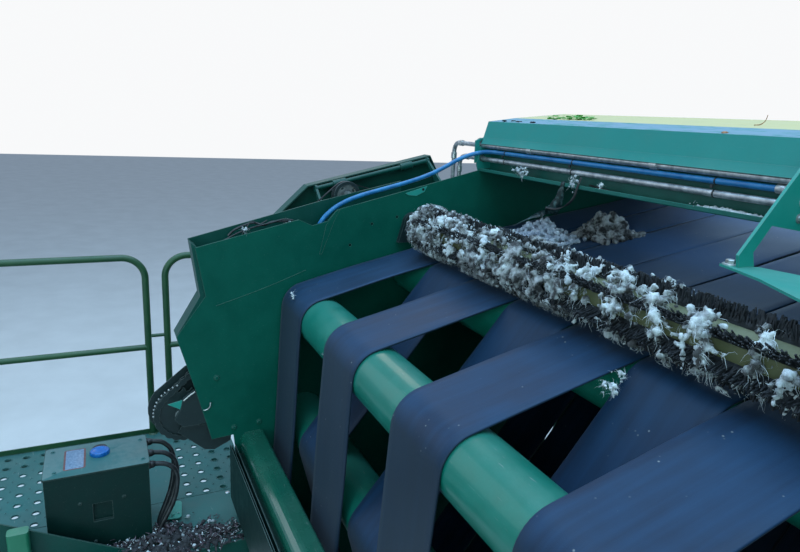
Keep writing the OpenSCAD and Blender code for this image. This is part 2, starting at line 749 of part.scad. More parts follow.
// Gate cylinders, drawn along Y from the barrel's pin
module cylinder_place(s) {
    side(s) translate([-cylinder_x, barrel_pin[0], barrel_pin[1]]) rotate([cylinder_angle, 0, 0]) children();
}
module along_y(y0, y1, r) {
    translate([0, y0, 0]) rotate([-90, 0, 0]) cylinder(h = y1 - y0, r = r);
}
eye_t = 46;
barrel_end = 800;
module cylinder_barrel(s) {
    cylinder_place(s) difference() {
        union() {
            translate([-eye_t / 2, 0, 0]) rotate([0, 90, 0]) cylinder(h = eye_t, r = 48);
            along_y(30, barrel_end, barrel_r);
        }
        translate([-eye_t, 0, 0]) rotate([0, 90, 0]) cylinder(h = 2 * eye_t, r = eye_pin_r + eps);
        along_y(70, barrel_end - 40, barrel_r - 8);
        along_y(70, barrel_end + 1, rod_r + eps);
    }
}
rod_pin_len = eye_t + cylinder_x - wall_out_x - boss_t - 6;
module cylinder_rod(s) {
    cylinder_place(s) difference() {
        union() {
            along_y(120, 170, barrel_r - 8.3);
            along_y(140, cylinder_len - 30, rod_r);
            translate([-eye_t / 2, cylinder_len, 0]) rotate([0, 90, 0]) cylinder(h = eye_t, r = 48);
            translate([-eye_t, cylinder_len, 0]) rotate([0, 90, 0]) cylinder(h = rod_pin_len, r = eye_pin_r);
        }
        along_y(60, 121, 10);
    }
}
module left_cylinder_barrel() { color(dark) cylinder_barrel(-1); }
module left_cylinder_rod() { color(chrome) cylinder_rod(-1); }
module right_cylinder_barrel() { color(dark) cylinder_barrel(1); }
module right_cylinder_rod() { color(chrome) cylinder_rod(1); }

// Shield doors, hung from a rail just inside their sloping top edge
hinge_rail_r = 10;
hinge_drop = 18;
hinge_x = shield_x - 75;
shield_top_a = shield_outline[1];
shield_top_b = shield_outline[2];
shield_slope = heading(shield_top_a, shield_top_b);
shield_top_dir = (shield_top_b - shield_top_a) / norm(shield_top_b - shield_top_a);
shield_top_up = [-shield_top_dir[1], shield_top_dir[0]];
hinge_rail_a = shield_top_a + 30 * shield_top_dir - hinge_drop * shield_top_up;
hinge_rail_b = shield_top_b - 30 * shield_top_dir - hinge_drop * shield_top_up;
shield_depth = 60;
shield_sheet_t = 5;
hinge_arms = [[hinge_rail_a, sheet_x, 2660], [hinge_rail_b, wall_out_x, 2760]];
arm_t = 10;
arm_boss_r = 15;
module shield_hinge_rails() {
    // columns of hinge_arms: end of the rail, distance of the arm's foot from the middle, its height
    color(green) for (s = [-1, 1]) side(s) {
        rod([-hinge_x, hinge_rail_a[0], hinge_rail_a[1]],
            [-hinge_x, hinge_rail_b[0], hinge_rail_b[1]], hinge_rail_r);
        for (arm = hinge_arms) {
            z = arm[0][1];
            translate([0, arm[0][0] + arm_t / 2, 0]) rotate([90, 0, 0]) linear_extrude(arm_t) {
                polygon([[-arm[1], arm[2]], [-arm[1], arm[2] + 60], [-hinge_x, z + 11], [-hinge_x - 4, z],
                    [-hinge_x + 8, z - 8]]);
                translate([-hinge_x, z]) circle(r = arm_boss_r);
            }
        }
    }
}
module barrel_pins() {
    color(dark) for (s = [-1, 1]) side(s) {
        bar(barrel_pin, -cylinder_x - 45, cylinder_x + 45 - wall_out_x, eye_pin_r);
        bar(barrel_pin, -wall_out_x - 60, 60, 60);
    }
}
knuckle_r = 16;
knuckle_w = 60;
lug_reach = 30;
module shield_door(s) {
    rail_len = norm(hinge_rail_b - hinge_rail_a);
    side(s) {
        across(-shield_x, shield_sheet_t) polygon(shield_outline);
        rim(shield_outline, -shield_x, shield_depth, shield_sheet_t);
        for (share = [0.2, 0.8])
            translate([-hinge_x, hinge_rail_a[0], hinge_rail_a[1]]) rotate([shield_slope, 0, 0])
                translate([0, share * rail_len - knuckle_w / 2, 0]) difference() {
                    union() {
                        along_y(0, knuckle_w, knuckle_r);
                        translate([-lug_reach, 0, hinge_drop - shield_sheet_t - 8])
                            cube([lug_reach, knuckle_w, 9]);
                    }
                    along_y(-1, knuckle_w + 1, hinge_rail_r + eps);
                }
    }
}
module left_shield_door() { color(green) shield_door(-1); }
module right_shield_door() { color(green) shield_door(1); }

base_frame();
left_wall();
right_wall();
left_wall_outer_sheet();
right_wall_outer_sheet();
front_cross_channel();
front_apron();
upper_rollers();
front_rollers();
floor_rollers();
long_belts();
dive_belts();
feed_floor();
brush_bearings();
brush_core();
brush_bristles();
hood_cover();
hood_channel();
hood_end_plates();
galvanized_pipes();
pipe_fitting_block();
blue_hose();
hood_bracket();
curved_guide();
gate_hinge_brackets();
drive_pulley();
chain_wheels();
drive_chain();
chain_guard();
walkway_frame();
walkway_deck();
handrails();
walkway_side_plate();
control_box();
box_cap();
box_cables();
gate_sides();
gate_cross_tubes();
gate_rollers();
gate_belts();
gate_apron();
left_cylinder_barrel();
left_cylinder_rod();
right_cylinder_barrel();
right_cylinder_rod();
barrel_pins();
shield_hinge_rails();
left_shield_door();
right_shield_door();
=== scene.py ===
# %% [markdown]
# # Round module builder of a cotton picker
#
# The photograph looks down on the front of the chamber that rolls picked cotton into a module.
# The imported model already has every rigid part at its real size. This lesson adds what a packed
# model lacks: paint that has aged, rubber belts that lie softly, a brush full of lint, bolts and
# dust. All sizes are metres in the model's own frame: X along the rollers, Y to the rear gate, Z up.


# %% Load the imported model
import bpy
import bmesh
import math
import random

import numpy
from mathutils import Matrix, Vector, noise


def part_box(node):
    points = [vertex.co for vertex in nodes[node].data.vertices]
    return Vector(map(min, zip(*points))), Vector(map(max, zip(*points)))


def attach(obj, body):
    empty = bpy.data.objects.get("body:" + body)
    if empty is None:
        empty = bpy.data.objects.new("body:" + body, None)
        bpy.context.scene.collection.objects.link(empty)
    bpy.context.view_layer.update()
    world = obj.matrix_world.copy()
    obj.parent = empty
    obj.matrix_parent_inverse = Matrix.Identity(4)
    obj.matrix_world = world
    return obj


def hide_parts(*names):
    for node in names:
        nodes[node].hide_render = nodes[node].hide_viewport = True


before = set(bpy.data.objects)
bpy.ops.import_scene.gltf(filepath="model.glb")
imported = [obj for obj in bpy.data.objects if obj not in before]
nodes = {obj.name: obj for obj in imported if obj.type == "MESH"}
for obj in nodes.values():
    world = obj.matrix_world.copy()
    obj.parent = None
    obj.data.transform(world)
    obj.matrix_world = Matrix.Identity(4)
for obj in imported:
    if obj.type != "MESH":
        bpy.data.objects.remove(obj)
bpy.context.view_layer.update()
print("nodes in the model:", len(nodes))


# %% [markdown]
# ## The camera
#
# The camera repeats the photograph's: its place, direction, slight roll and focal length were
# fitted to the edges of belts, rollers and walls.


# %% The photograph's camera
def new_object(name, data):
    thing = bpy.data.objects.new(name, data)
    bpy.context.scene.collection.objects.link(thing)
    return thing


CAMERA_PLACE = (1.19236, -1.74795, 3.13389)
YAW_PITCH_ROLL = (63.768, 14.371, 3.126)
FOCAL_PX, PHOTO_WIDTH_PX, SENSOR_MM = 618.513, 800, 36.0


def make_camera(place, yaw, pitch, roll):
    yaw, pitch, roll = (math.radians(a) for a in (yaw, pitch, roll))
    forward = Vector((-math.sin(yaw) * math.cos(pitch), math.cos(yaw) * math.cos(pitch), -math.sin(pitch)))
    right = Vector((math.cos(yaw), math.sin(yaw), 0))
    up = right.cross(forward)
    right, up = (right * math.cos(roll) + up * math.sin(roll), up * math.cos(roll) - right * math.sin(roll))
    data = bpy.data.cameras.new("photo_camera")
    data.sensor_fit = "HORIZONTAL"
    data.sensor_width = SENSOR_MM
    data.lens = FOCAL_PX / PHOTO_WIDTH_PX * SENSOR_MM
    data.clip_start = 0.02
    camera = new_object("photo_camera", data)
    turn = Matrix((right, up, -forward)).transposed().to_4x4()
    camera.matrix_world = Matrix.Translation(place) @ turn
    bpy.context.scene.camera = camera


make_camera(CAMERA_PLACE, *YAW_PITCH_ROLL)
bpy.context.scene.view_settings.view_transform = "Standard"
print("camera looks along:", tuple(round(a, 3) for a in -bpy.context.scene.camera.matrix_world.col[2].xyz))


# %% [markdown]
# ## A few helpers
#
# Almost everything here is a short list of points turned into a mesh. One function makes the
# object, gives it its material, smooths it and hangs it on the body that carries it.


# %% Make a piece from points and faces
SHARP_DEGREES, NODE_SHARP, ROUND_SHARP, NEVER_SHARP = 35.0, 30, 60, 180


def dress(mesh, material):
    """Gives a mesh its only material and smooth shading."""
    mesh.materials.clear()
    mesh.materials.append(material)
    for polygon in mesh.polygons:
        polygon.use_smooth = True


def make_piece(name, verts, faces, material, body="frame", sharp=SHARP_DEGREES):
    mesh = bpy.data.meshes.new(name)
    mesh.from_pydata([tuple(v) for v in verts], [], faces)
    mesh.validate()
    piece = new_object(name, mesh)
    dress(mesh, material)
    if sharp < NEVER_SHARP:
        mesh.set_sharp_from_angle(angle=math.radians(sharp))
    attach(piece, body)
    return piece


class Builder:
    """Collects many small shapes in one mesh."""

    def __init__(self):
        self.verts = []
        self.faces = []

    def add(self, verts, faces):
        base = len(self.verts)
        self.verts += [Vector(v) for v in verts]
        self.faces += [tuple(base + i for i in face) for face in faces]

    def piece(self, name, material, body="frame", sharp=SHARP_DEGREES):
        return make_piece(name, self.verts, self.faces, material, body, sharp)


def one(name, material, shape, *sizes, body="frame", sharp=SHARP_DEGREES):
    """A piece made of a single shape, such as one tube or one plate."""
    builder = Builder()
    shape(builder, *sizes)
    return builder.piece(name, material, body, sharp)


# %% [markdown]
# Tubes, discs, bars and belts are all the same thing: rings of points joined by walls. A disc
# stack is the lathe of this lesson. It turns a profile of radii and heights round any axis, and
# makes bolt heads, washers, caps and bosses.


# %% Join rings of points, and turn a profile round an axis
def loft_faces(rings, sides, closed=False):
    """Walls between rings, with a cap at each end unless the last ring meets the first."""
    faces = []
    for i in range(rings if closed else rings - 1):
        a, b = i * sides, (i + 1) % rings * sides
        faces += [(a + k, a + (k + 1) % sides, b + (k + 1) % sides, b + k) for k in range(sides)]
    if not closed:
        faces += [tuple(range(sides - 1, -1, -1)), tuple(range((rings - 1) * sides, rings * sides))]
    return faces


def axes_round(axis):
    axis = Vector(axis).normalized()
    side = axis.orthogonal().normalized()
    return axis, side, axis.cross(side)


def turned(builder, centre, axis, profile, sides):
    axis, side, other = axes_round(axis)
    verts = []
    for radius, height in profile:
        for k in range(sides):
            a = math.tau * k / sides
            verts.append(Vector(centre) + axis * height + (side * math.cos(a) + other * math.sin(a)) * radius)
    builder.add(verts, loft_faces(len(profile), sides))


def bolt(builder, centre, axis, size=0.012, washer=True):
    """A hexagon head of the given half width on a round washer."""
    centre, axis = Vector(centre), Vector(axis).normalized()
    if washer:
        turned(builder, centre, axis, [(size * 1.55, -0.001), (size * 1.55, size * 0.2),
                                       (size * 1.4, size * 0.28)], 18)
    top = size * 0.95
    turned(builder, centre, axis, [(size, size * 0.2), (size, top), (size * 0.86, top + size * 0.12)], 6)


# %% A round tube along a smooth curve
def smooth_path(points, steps=6):
    points = [Vector(p) for p in points]
    line = []
    for i in range(len(points) - 1):
        a, b, c, d = points[max(i - 1, 0)], points[i], points[i + 1], points[min(i + 2, len(points) - 1)]
        for k in range(steps):
            t = k / steps
            line.append(0.5 * (2 * b + (c - a) * t + (2 * a - 5 * b + 4 * c - d) * t * t
                               + (3 * b - a - 3 * c + d) * t ** 3))
    return line + [points[-1]]


def tube(builder, line, radius, sides=10, taper=1.0):
    last = len(line) - 1
    side = None
    verts = []
    for i, point in enumerate(line):
        ahead = (line[min(i + 1, last)] - line[max(i - 1, 0)]).normalized()
        if side is None:
            side = ahead.orthogonal().normalized()
        side = (side - ahead * side.dot(ahead)).normalized()
        other = ahead.cross(side)
        r = radius * (1 + (taper - 1) * i / last)
        for k in range(sides):
            a = math.tau * k / sides
            verts.append(point + (side * math.cos(a) + other * math.sin(a)) * r)
    builder.add(verts, loft_faces(last + 1, sides))


def block(builder, low, high):
    (x0, y0, z0), (x1, y1, z1) = low, high
    verts = [(x0, y0, z0), (x1, y0, z0), (x1, y1, z0), (x0, y1, z0),
             (x0, y0, z1), (x1, y0, z1), (x1, y1, z1), (x0, y1, z1)]
    builder.add(verts, [(0, 3, 2, 1), (4, 5, 6, 7), (0, 1, 5, 4), (1, 2, 6, 5), (2, 3, 7, 6), (3, 0, 4, 7)])


def swept(builder, outline, x0, x1):
    """A closed outline in Y and Z, drawn out straight along X."""
    builder.add([(x, y, z) for x in (x0, x1) for y, z in outline], loft_faces(2, len(outline)))


def wire(builder, points, radius, steps=6, sides=8, taper=1.0):
    tube(builder, smooth_path(points, steps), radius, sides, taper)


def round_circle(count, radius, start=0.0):
    """Pairs of offsets, evenly spaced round a circle."""
    angles = [math.tau * (k + start) / count for k in range(count)]
    return [(radius * math.cos(a), radius * math.sin(a)) for a in angles]


print("helpers are ready")


# %% [markdown]
# ## Shared shader effects
#
# Farm machines age in the same few ways everywhere: dust settles on what faces up, paint thins
# along edges, and rain leaves streaks. Each effect is one node group with named sockets, and each
# material sets its own amounts. Object coordinates are metres here, because no piece is scaled.


# %% Small functions for node trees
def new_group(name, inputs, outputs):
    tree = bpy.data.node_groups.new(name, "ShaderNodeTree")
    for label, kind, value in inputs:
        socket = tree.interface.new_socket(label, in_out="INPUT", socket_type=kind)
        socket.default_value = value
    for label, kind in outputs:
        tree.interface.new_socket(label, in_out="OUTPUT", socket_type=kind)
    return tree, tree.nodes.new("NodeGroupInput"), tree.nodes.new("NodeGroupOutput")


def add_node(tree, kind, values=None, **settings):
    node = tree.nodes.new("ShaderNode" + kind)
    for key, value in settings.items():
        setattr(node, key, value)
    for key, value in (values or {}).items():
        if isinstance(value, bpy.types.NodeSocket):
            tree.links.new(value, node.inputs[key])
        else:
            node.inputs[key].default_value = value
    return node


def ramp(tree, value, low, high):
    """Value between low and high, stretched to 0 to 1."""
    return add_node(tree, "MapRange", {0: value, 1: low, 2: high, 3: 0.0, 4: 1.0}, clamp=True).outputs[0]


def math_node(tree, operation, a, b):
    return add_node(tree, "Math", {0: a, 1: b}, operation=operation).outputs[0]


def times(tree, a, b):
    return math_node(tree, "MULTIPLY", a, b)


def plus(tree, a, b):
    return math_node(tree, "ADD", a, b)


def mix_colour(tree, factor, a, b):
    node = add_node(tree, "Mix", data_type="RGBA")
    for socket, value in ((node.inputs[0], factor), (node.inputs[6], a), (node.inputs[7], b)):
        if isinstance(value, bpy.types.NodeSocket):
            tree.links.new(value, socket)
        else:
            socket.default_value = value
    return node.outputs[2]


def noise_value(tree, coords, scale, detail=4.0, roughness=0.55):
    node = add_node(tree, "TexNoise", {"Vector": coords, "Scale": scale, "Detail": detail,
                                       "Roughness": roughness})
    return node.outputs["Fac"]


def own_coords(tree):
    return add_node(tree, "TexCoord").outputs["Object"]


def stretched(tree, coords, scale, **settings):
    return add_node(tree, "Mapping", {"Vector": coords, "Scale": scale, **settings}).outputs[0]


def axis_of(tree, vector, name):
    return add_node(tree, "SeparateXYZ", {0: vector}).outputs[name]


def upwardness(tree):
    """1 on a face that looks straight up, 0 on an upright one."""
    return axis_of(tree, add_node(tree, "NewGeometry").outputs["Normal"], "Z")


def blank_material(name):
    material = bpy.data.materials.new(name)
    material.use_nodes = True
    material.node_tree.nodes.clear()
    return material, material.node_tree


def show(tree, shader):
    tree.links.new(shader.outputs[0], add_node(tree, "OutputMaterial").inputs["Surface"])


COLOUR, NUMBER = "NodeSocketColor", "NodeSocketFloat"


# %% Dust that settles on upward faces
def make_dust_group():
    tree, inside, outside = new_group(
        "settled_dust",
        [("Paint", COLOUR, (0, 0, 0, 1)), ("Dust", COLOUR, (0.4, 0.38, 0.3, 1)), ("Amount", NUMBER, 0.5),
         ("Scale", NUMBER, 6.0)],
        [("Colour", COLOUR), ("Mask", NUMBER)])
    coords = own_coords(tree)
    up = ramp(tree, upwardness(tree), 0.15, 0.95)
    broad = noise_value(tree, coords, inside.outputs["Scale"], 5.0)
    fine = noise_value(tree, coords, 160.0, 2.0)
    patches = ramp(tree, plus(tree, broad, times(tree, fine, 0.35)), 0.42, 0.95)
    mask = times(tree, times(tree, up, patches), inside.outputs["Amount"])
    tree.links.new(mix_colour(tree, mask, inside.outputs["Paint"], inside.outputs["Dust"]),
                   outside.inputs["Colour"])
    tree.links.new(mask, outside.inputs["Mask"])
    return tree


dust_group = make_dust_group()


# %% Scuffs, streaks and a slow change of shade
def make_paint_group():
    tree, inside, outside = new_group(
        "aged_paint",
        [("Paint", COLOUR, (0, 0, 0, 1)), ("Faded", COLOUR, (0, 0, 0, 1)),
         ("Bare and lit edge", COLOUR, (0.3, 0.3, 0.3, 1)), ("Fading", NUMBER, 0.4), ("Scratches", NUMBER, 0.3),
         ("Gloss", NUMBER, 0.3), ("Wear", NUMBER, 0.4)],
        [("Colour", COLOUR), ("Roughness", NUMBER), ("Height", NUMBER)])
    coords = own_coords(tree)
    broad = noise_value(tree, coords, 2.2, 3.0)
    blotch = noise_value(tree, coords, 14.0, 6.0, 0.65)
    fading = times(tree, ramp(tree, plus(tree, broad, blotch), 0.8, 1.25), inside.outputs["Fading"])
    colour = mix_colour(tree, fading, inside.outputs["Paint"], inside.outputs["Faded"])
    slanted = stretched(tree, coords, (2.0, 11.0, 70.0), Rotation=(0.5, 0.35, 0.2))
    lines = noise_value(tree, slanted, 9.0, 2.0)
    scratch = times(tree, ramp(tree, lines, 0.69, 0.74), inside.outputs["Scratches"])
    colour = mix_colour(tree, scratch, colour, inside.outputs["Bare and lit edge"])
    rounded = add_node(tree, "Bevel", {"Radius": 0.004}, samples=4).outputs[0]
    flat = add_node(tree, "NewGeometry").outputs["Normal"]
    turn = add_node(tree, "VectorMath", {0: rounded, 1: flat}, operation="DOT_PRODUCT").outputs["Value"]
    patchy = math_node(tree, "SUBTRACT", math_node(tree, "SUBTRACT", 1.0, turn),
                       times(tree, noise_value(tree, coords, 55.0, 3.0), 0.22))
    edge = times(tree, ramp(tree, patchy, 0.0, 0.10), inside.outputs["Wear"])
    tree.links.new(mix_colour(tree, edge, colour, inside.outputs["Bare and lit edge"]), outside.inputs["Colour"])
    peel = noise_value(tree, coords, 90.0, 3.0)
    rough = plus(tree, inside.outputs["Gloss"], times(tree, blotch, 0.25))
    tree.links.new(plus(tree, rough, times(tree, fading, 0.2)), outside.inputs["Roughness"])
    tree.links.new(plus(tree, peel, times(tree, scratch, -1.5)), outside.inputs["Height"])
    return tree


paint_group = make_paint_group()
print("shader groups:", [g.name for g in bpy.data.node_groups])


# %% [markdown]
# ## Paint
#
# The same green looks different on every part of the machine: the walls are dusty, and their green is
# a painted shade, darker than their real paint; the control box has a shaded and a lit copy of one green;
# the hood has faded towards teal, and the roller drums are polished by the belts. One function makes
# them all from the two groups above, with the Principled shader kept in the material.


# %% Painted steel
def top_light_tint(tree, colour, lit_tints):
    """Paints light onto the upward faces between two places along Y; each row of painted light gives from,
    to, colour and amount.
    """
    coords = own_coords(tree)
    place = axis_of(tree, coords, "Y")
    up = ramp(tree, upwardness(tree), 0.80, 0.95)
    for low, high, tint, amount in lit_tints:
        inside = times(tree, ramp(tree, place, low, low + 0.002), ramp(tree, place, high, high - 0.002))
        ragged_coords = stretched(tree, coords, (0.35, 1.6, 1.0))
        ragged = ramp(tree, noise_value(tree, ragged_coords, 26.0, 6.0, 0.7), 0.62 - amount * 0.35,
                      0.70 - amount * 0.30)
        mask = times(tree, times(tree, up, inside), ragged)
        colour = mix_colour(tree, mask, colour, (*tint, 1))
    return colour


def painted(name, paint, faded, bare_and_lit_edge=(0.20, 0.24, 0.22), fading=0.4, scratches=0.25, gloss=0.25,
            dust=0.35, dust_colour=(0.33, 0.33, 0.26), bump=0.05, coat=0.0, specular=0.5, wear=0.4,
            lit_tints=()):
    material, tree = blank_material(name)
    aged = add_node(tree, "Group", node_tree=paint_group)
    for label, value in (("Paint", (*paint, 1)), ("Faded", (*faded, 1)), ("Bare and lit edge", (*bare_and_lit_edge, 1)),
                         ("Fading", fading), ("Scratches", scratches), ("Gloss", gloss), ("Wear", wear)):
        aged.inputs[label].default_value = value
    dusty = add_node(tree, "Group", node_tree=dust_group)
    tree.links.new(aged.outputs["Colour"], dusty.inputs["Paint"])
    dusty.inputs["Dust"].default_value = (*dust_colour, 1)
    dusty.inputs["Amount"].default_value = dust
    rough = plus(tree, aged.outputs["Roughness"], times(tree, dusty.outputs["Mask"], 0.5))
    relief = add_node(tree, "Bump", {"Height": aged.outputs["Height"], "Strength": bump, "Distance": 0.004})
    colour = top_light_tint(tree, dusty.outputs["Colour"], lit_tints) if lit_tints else dusty.outputs["Colour"]
    shader = add_node(tree, "BsdfPrincipled", {
        "Base Color": colour, "Roughness": rough, "Normal": relief.outputs[0],
        "Specular IOR Level": specular, "Coat Weight": coat, "Coat Roughness": 0.12})
    show(tree, shader)
    return material


# The wall green is darker than the walls' real paint: a painted shade for the shadow the walls stand in.
wall_green = painted("wall_green", (0.0002, 0.068, 0.046), (0.0008, 0.110, 0.074), gloss=0.34, dust=0.04,
                     specular=0.14)
sheet_green = painted("sheet_green", (0.0004, 0.048, 0.036), (0.002, 0.085, 0.063), gloss=0.28, dust=0.10,
                      specular=0.3)
# This green is the control box's paint as its shaded front shows it: a painted shade, also used on the bent
# apron, which stands in shadow.
shaded_box_green = painted("shaded_box_green", (0.0003, 0.017, 0.014), (0.001, 0.032, 0.026), gloss=0.34, dust=0.30,
                    specular=0.22, dust_colour=(0.12, 0.16, 0.14))
rail_green = painted("rail_green", (0.006, 0.050, 0.020), (0.04, 0.13, 0.035), gloss=0.3, dust=0.2,
                     scratches=0.15)
hood_teal = painted("hood_teal", (0.003, 0.190, 0.160), (0.010, 0.240, 0.205), gloss=0.42, dust=0.40,
                    specular=0.4, dust_colour=(0.25, 0.42, 0.36))
# The hood's top carries painted light on its upward faces: a bluish painted sky reflection over its front
# part and a pale painted sunlit band over its rear part.
hood_top = painted("hood_top", (0.003, 0.190, 0.160), (0.010, 0.240, 0.205), gloss=0.42, dust=0.30,
                   specular=0.4, dust_colour=(0.25, 0.42, 0.36),
                   lit_tints=[(-0.139, 0.0, (0.20, 0.30, 0.36), 0.72),
                          (0.0, 0.285, (0.62, 0.52, 0.26), 1.0)])
bracket_teal = painted("bracket_teal", (0.004, 0.230, 0.180), (0.015, 0.300, 0.240), gloss=0.38, dust=0.20)
post_green = painted("post_green", (0.010, 0.150, 0.075), (0.040, 0.240, 0.140), gloss=0.34, dust=0.25)
deck_teal = painted("deck_teal", (0.003, 0.085, 0.078), (0.012, 0.150, 0.135), gloss=0.4, dust=0.35,
                    scratches=0.6, dust_colour=(0.12, 0.17, 0.15))
drum_green = painted("drum_green", (0.001, 0.135, 0.092), (0.010, 0.205, 0.155), gloss=0.22, dust=0.08,
                     scratches=0.45, bump=0.02, coat=0.25, specular=0.35)
glossy_green = painted("glossy_green", (0.0006, 0.075, 0.045), (0.003, 0.110, 0.070), gloss=0.08, dust=0.06,
                       scratches=0.25, bump=0.02, coat=0.8)
# The channel's worn-edge colour is a bright green: partly real wear, partly a painted highlight along its
# edges and lip.
channel_green = painted("channel_green", (0.002, 0.090, 0.068), (0.012, 0.200, 0.160), gloss=0.20,
                        dust=0.10, bare_and_lit_edge=(0.05, 0.30, 0.24), wear=0.9, scratches=0.3)
# This is the control box's own paint, made lighter and bluer: painted sky light on the box's lid.
sky_lit_box_green = painted("sky_lit_box_green", (0.002, 0.075, 0.072), (0.010, 0.150, 0.140), gloss=0.30,
                        dust=0.35, dust_colour=(0.10, 0.20, 0.20))
olive_tube = painted("olive_tube", (0.110, 0.120, 0.050), (0.180, 0.180, 0.090), gloss=0.45, dust=0.35)
dark_steel = painted("dark_steel", (0.003, 0.013, 0.014), (0.012, 0.032, 0.033), gloss=0.35, dust=0.25,
                     dust_colour=(0.07, 0.10, 0.09))


# %% [markdown]
# Rubber belts are black; their slate blue is a painted sky reflection. Lint leaves fine pale specks and
# rubbed bands along the belt. Faces that hang down get painted shade, and the upward faces under the
# hood get a brighter painted blue for the sky light that reaches them. Zinc, chrome and plastic are simpler.


# %% Belt rubber
def make_belt_rubber():
    material, tree = blank_material("belt_rubber")
    coords = own_coords(tree)
    bands = noise_value(tree, stretched(tree, coords, (14.0, 0.7, 0.7)), 3.0, 4.0)
    cloudy = noise_value(tree, coords, 5.0, 5.0)
    shade = ramp(tree, plus(tree, bands, cloudy), 0.75, 1.3)
    # Both tones are a painted sky reflection on black rubber; bands and clouds vary between them.
    colour = mix_colour(tree, shade, (0.0022, 0.019, 0.050, 1), (0.005, 0.036, 0.088, 1))
    place, facing = axis_of(tree, coords, "Y"), upwardness(tree)
    # Upward faces under the hood get a brighter blue: painted sky light from the front.
    sky_lit_under_hood = times(tree, ramp(tree, place, -0.05, 0.15), ramp(tree, place, 1.10, 0.80))
    sky_lit_under_hood = times(tree, sky_lit_under_hood, ramp(tree, facing, 0.60, 0.90))
    colour = mix_colour(tree, sky_lit_under_hood, colour, (0.008, 0.050, 0.130, 1))
    # Faces that turn away from the sky are darkened: painted shade.
    hanging_shade = ramp(tree, facing, 0.75, 0.20)
    colour = mix_colour(tree, times(tree, hanging_shade, 0.75), colour, (0.004, 0.013, 0.024, 1))
    speck_cells = add_node(tree, "TexVoronoi", {"Vector": coords, "Scale": 42.0, "Randomness": 1.0})
    near = ramp(tree, speck_cells.outputs["Distance"], 0.13, 0.06)
    chosen = ramp(tree, noise_value(tree, coords, 16.0, 2.0), 0.56, 0.66)
    specks = times(tree, near, chosen)
    colour = mix_colour(tree, times(tree, specks, 0.65), colour, (0.30, 0.31, 0.30, 1))
    weave = noise_value(tree, coords, 420.0, 2.0)
    relief = add_node(tree, "Bump", {"Height": weave, "Strength": 0.12, "Distance": 0.002})
    rough = plus(tree, times(tree, cloudy, 0.22), 0.42)
    shader = add_node(tree, "BsdfPrincipled", {
        "Base Color": colour, "Roughness": rough, "Normal": relief.outputs[0], "Specular IOR Level": 0.30,
        "Sheen Weight": 0.05, "Sheen Roughness": 0.5})
    show(tree, shader)
    return material


belt_rubber = make_belt_rubber()


# %% Plain finishes with grain
def simple(name, dark, light, roughness, metallic=0.0, scale=30.0, bump=0.1, bump_scale=200.0,
           stretch=(1, 1, 1), spread=(0.35, 0.7), **constants):
    material, tree = blank_material(name)
    coords = stretched(tree, own_coords(tree), stretch)
    patches = noise_value(tree, coords, scale, 5.0)
    colour = mix_colour(tree, ramp(tree, patches, *spread), (*dark, 1), (*light, 1))
    rough = plus(tree, times(tree, patches, 0.2), roughness - 0.1)
    relief = add_node(tree, "Bump", {"Height": noise_value(tree, coords, bump_scale, 3.0), "Strength": bump,
                                     "Distance": 0.003})
    shader = add_node(tree, "BsdfPrincipled", {
        "Base Color": colour, "Roughness": rough, "Metallic": metallic, "Normal": relief.outputs[0]})
    for key, value in constants.items():
        shader.inputs[key.replace("_", " ")].default_value = value
    show(tree, shader)
    return material


zinc = simple("galvanized_zinc", (0.25, 0.27, 0.28), (0.55, 0.57, 0.57), 0.38, 0.75, 45.0)
bolt_zinc = simple("bolt_zinc", (0.35, 0.36, 0.36), (0.65, 0.65, 0.63), 0.35, 0.8, 60.0)
bare_steel = simple("polished_steel", (0.33, 0.34, 0.34), (0.5, 0.51, 0.5), 0.28, 0.9, 8.0,
                    stretch=(0.4, 4, 4))
cast_grey = simple("cast_grey", (0.09, 0.10, 0.10), (0.30, 0.32, 0.31), 0.5, 0.3, 35.0)
chrome = simple("rod_chrome", (0.62, 0.63, 0.65), (0.75, 0.76, 0.78), 0.12, 1.0, 20.0, bump=0.01)
hose_blue = simple("hose_blue", (0.004, 0.105, 0.27), (0.02, 0.20, 0.42), 0.32, 0.0, 25.0, bump=0.04)
cap_blue = simple("cap_blue", (0.003, 0.085, 0.30), (0.006, 0.14, 0.42), 0.3, 0.0, 60.0, bump=0.03)
cable_black = simple("cable_black", (0.006, 0.007, 0.008), (0.03, 0.032, 0.034), 0.42, 0.0, 40.0, bump=0.1)
plate_pale = simple("plate_pale", (0.09, 0.16, 0.24), (0.20, 0.28, 0.38), 0.4, 0.0, 120.0, bump=0.02)
plate_red = simple("plate_red", (0.10, 0.035, 0.035), (0.20, 0.085, 0.075), 0.5, 0.0, 80.0, bump=0.02)
lint_white = simple("lint_white", (0.05, 0.048, 0.048), (0.62, 0.66, 0.66), 0.95, 0.0, 24.0, bump=0.9,
                    bump_scale=300.0, spread=(0.42, 0.60), Sheen_Weight=0.2)
lint_clean = simple("lint_clean", (0.30, 0.33, 0.35), (0.80, 0.84, 0.85), 0.95, 0.0, 24.0, bump=0.8,
                    bump_scale=260.0, Sheen_Weight=0.3)
lint_grey = simple("lint_grey", (0.026, 0.025, 0.026), (0.40, 0.41, 0.41), 0.95, 0.0, 28.0, bump=0.9,
                   bump_scale=300.0, spread=(0.42, 0.60), Sheen_Weight=0.1)
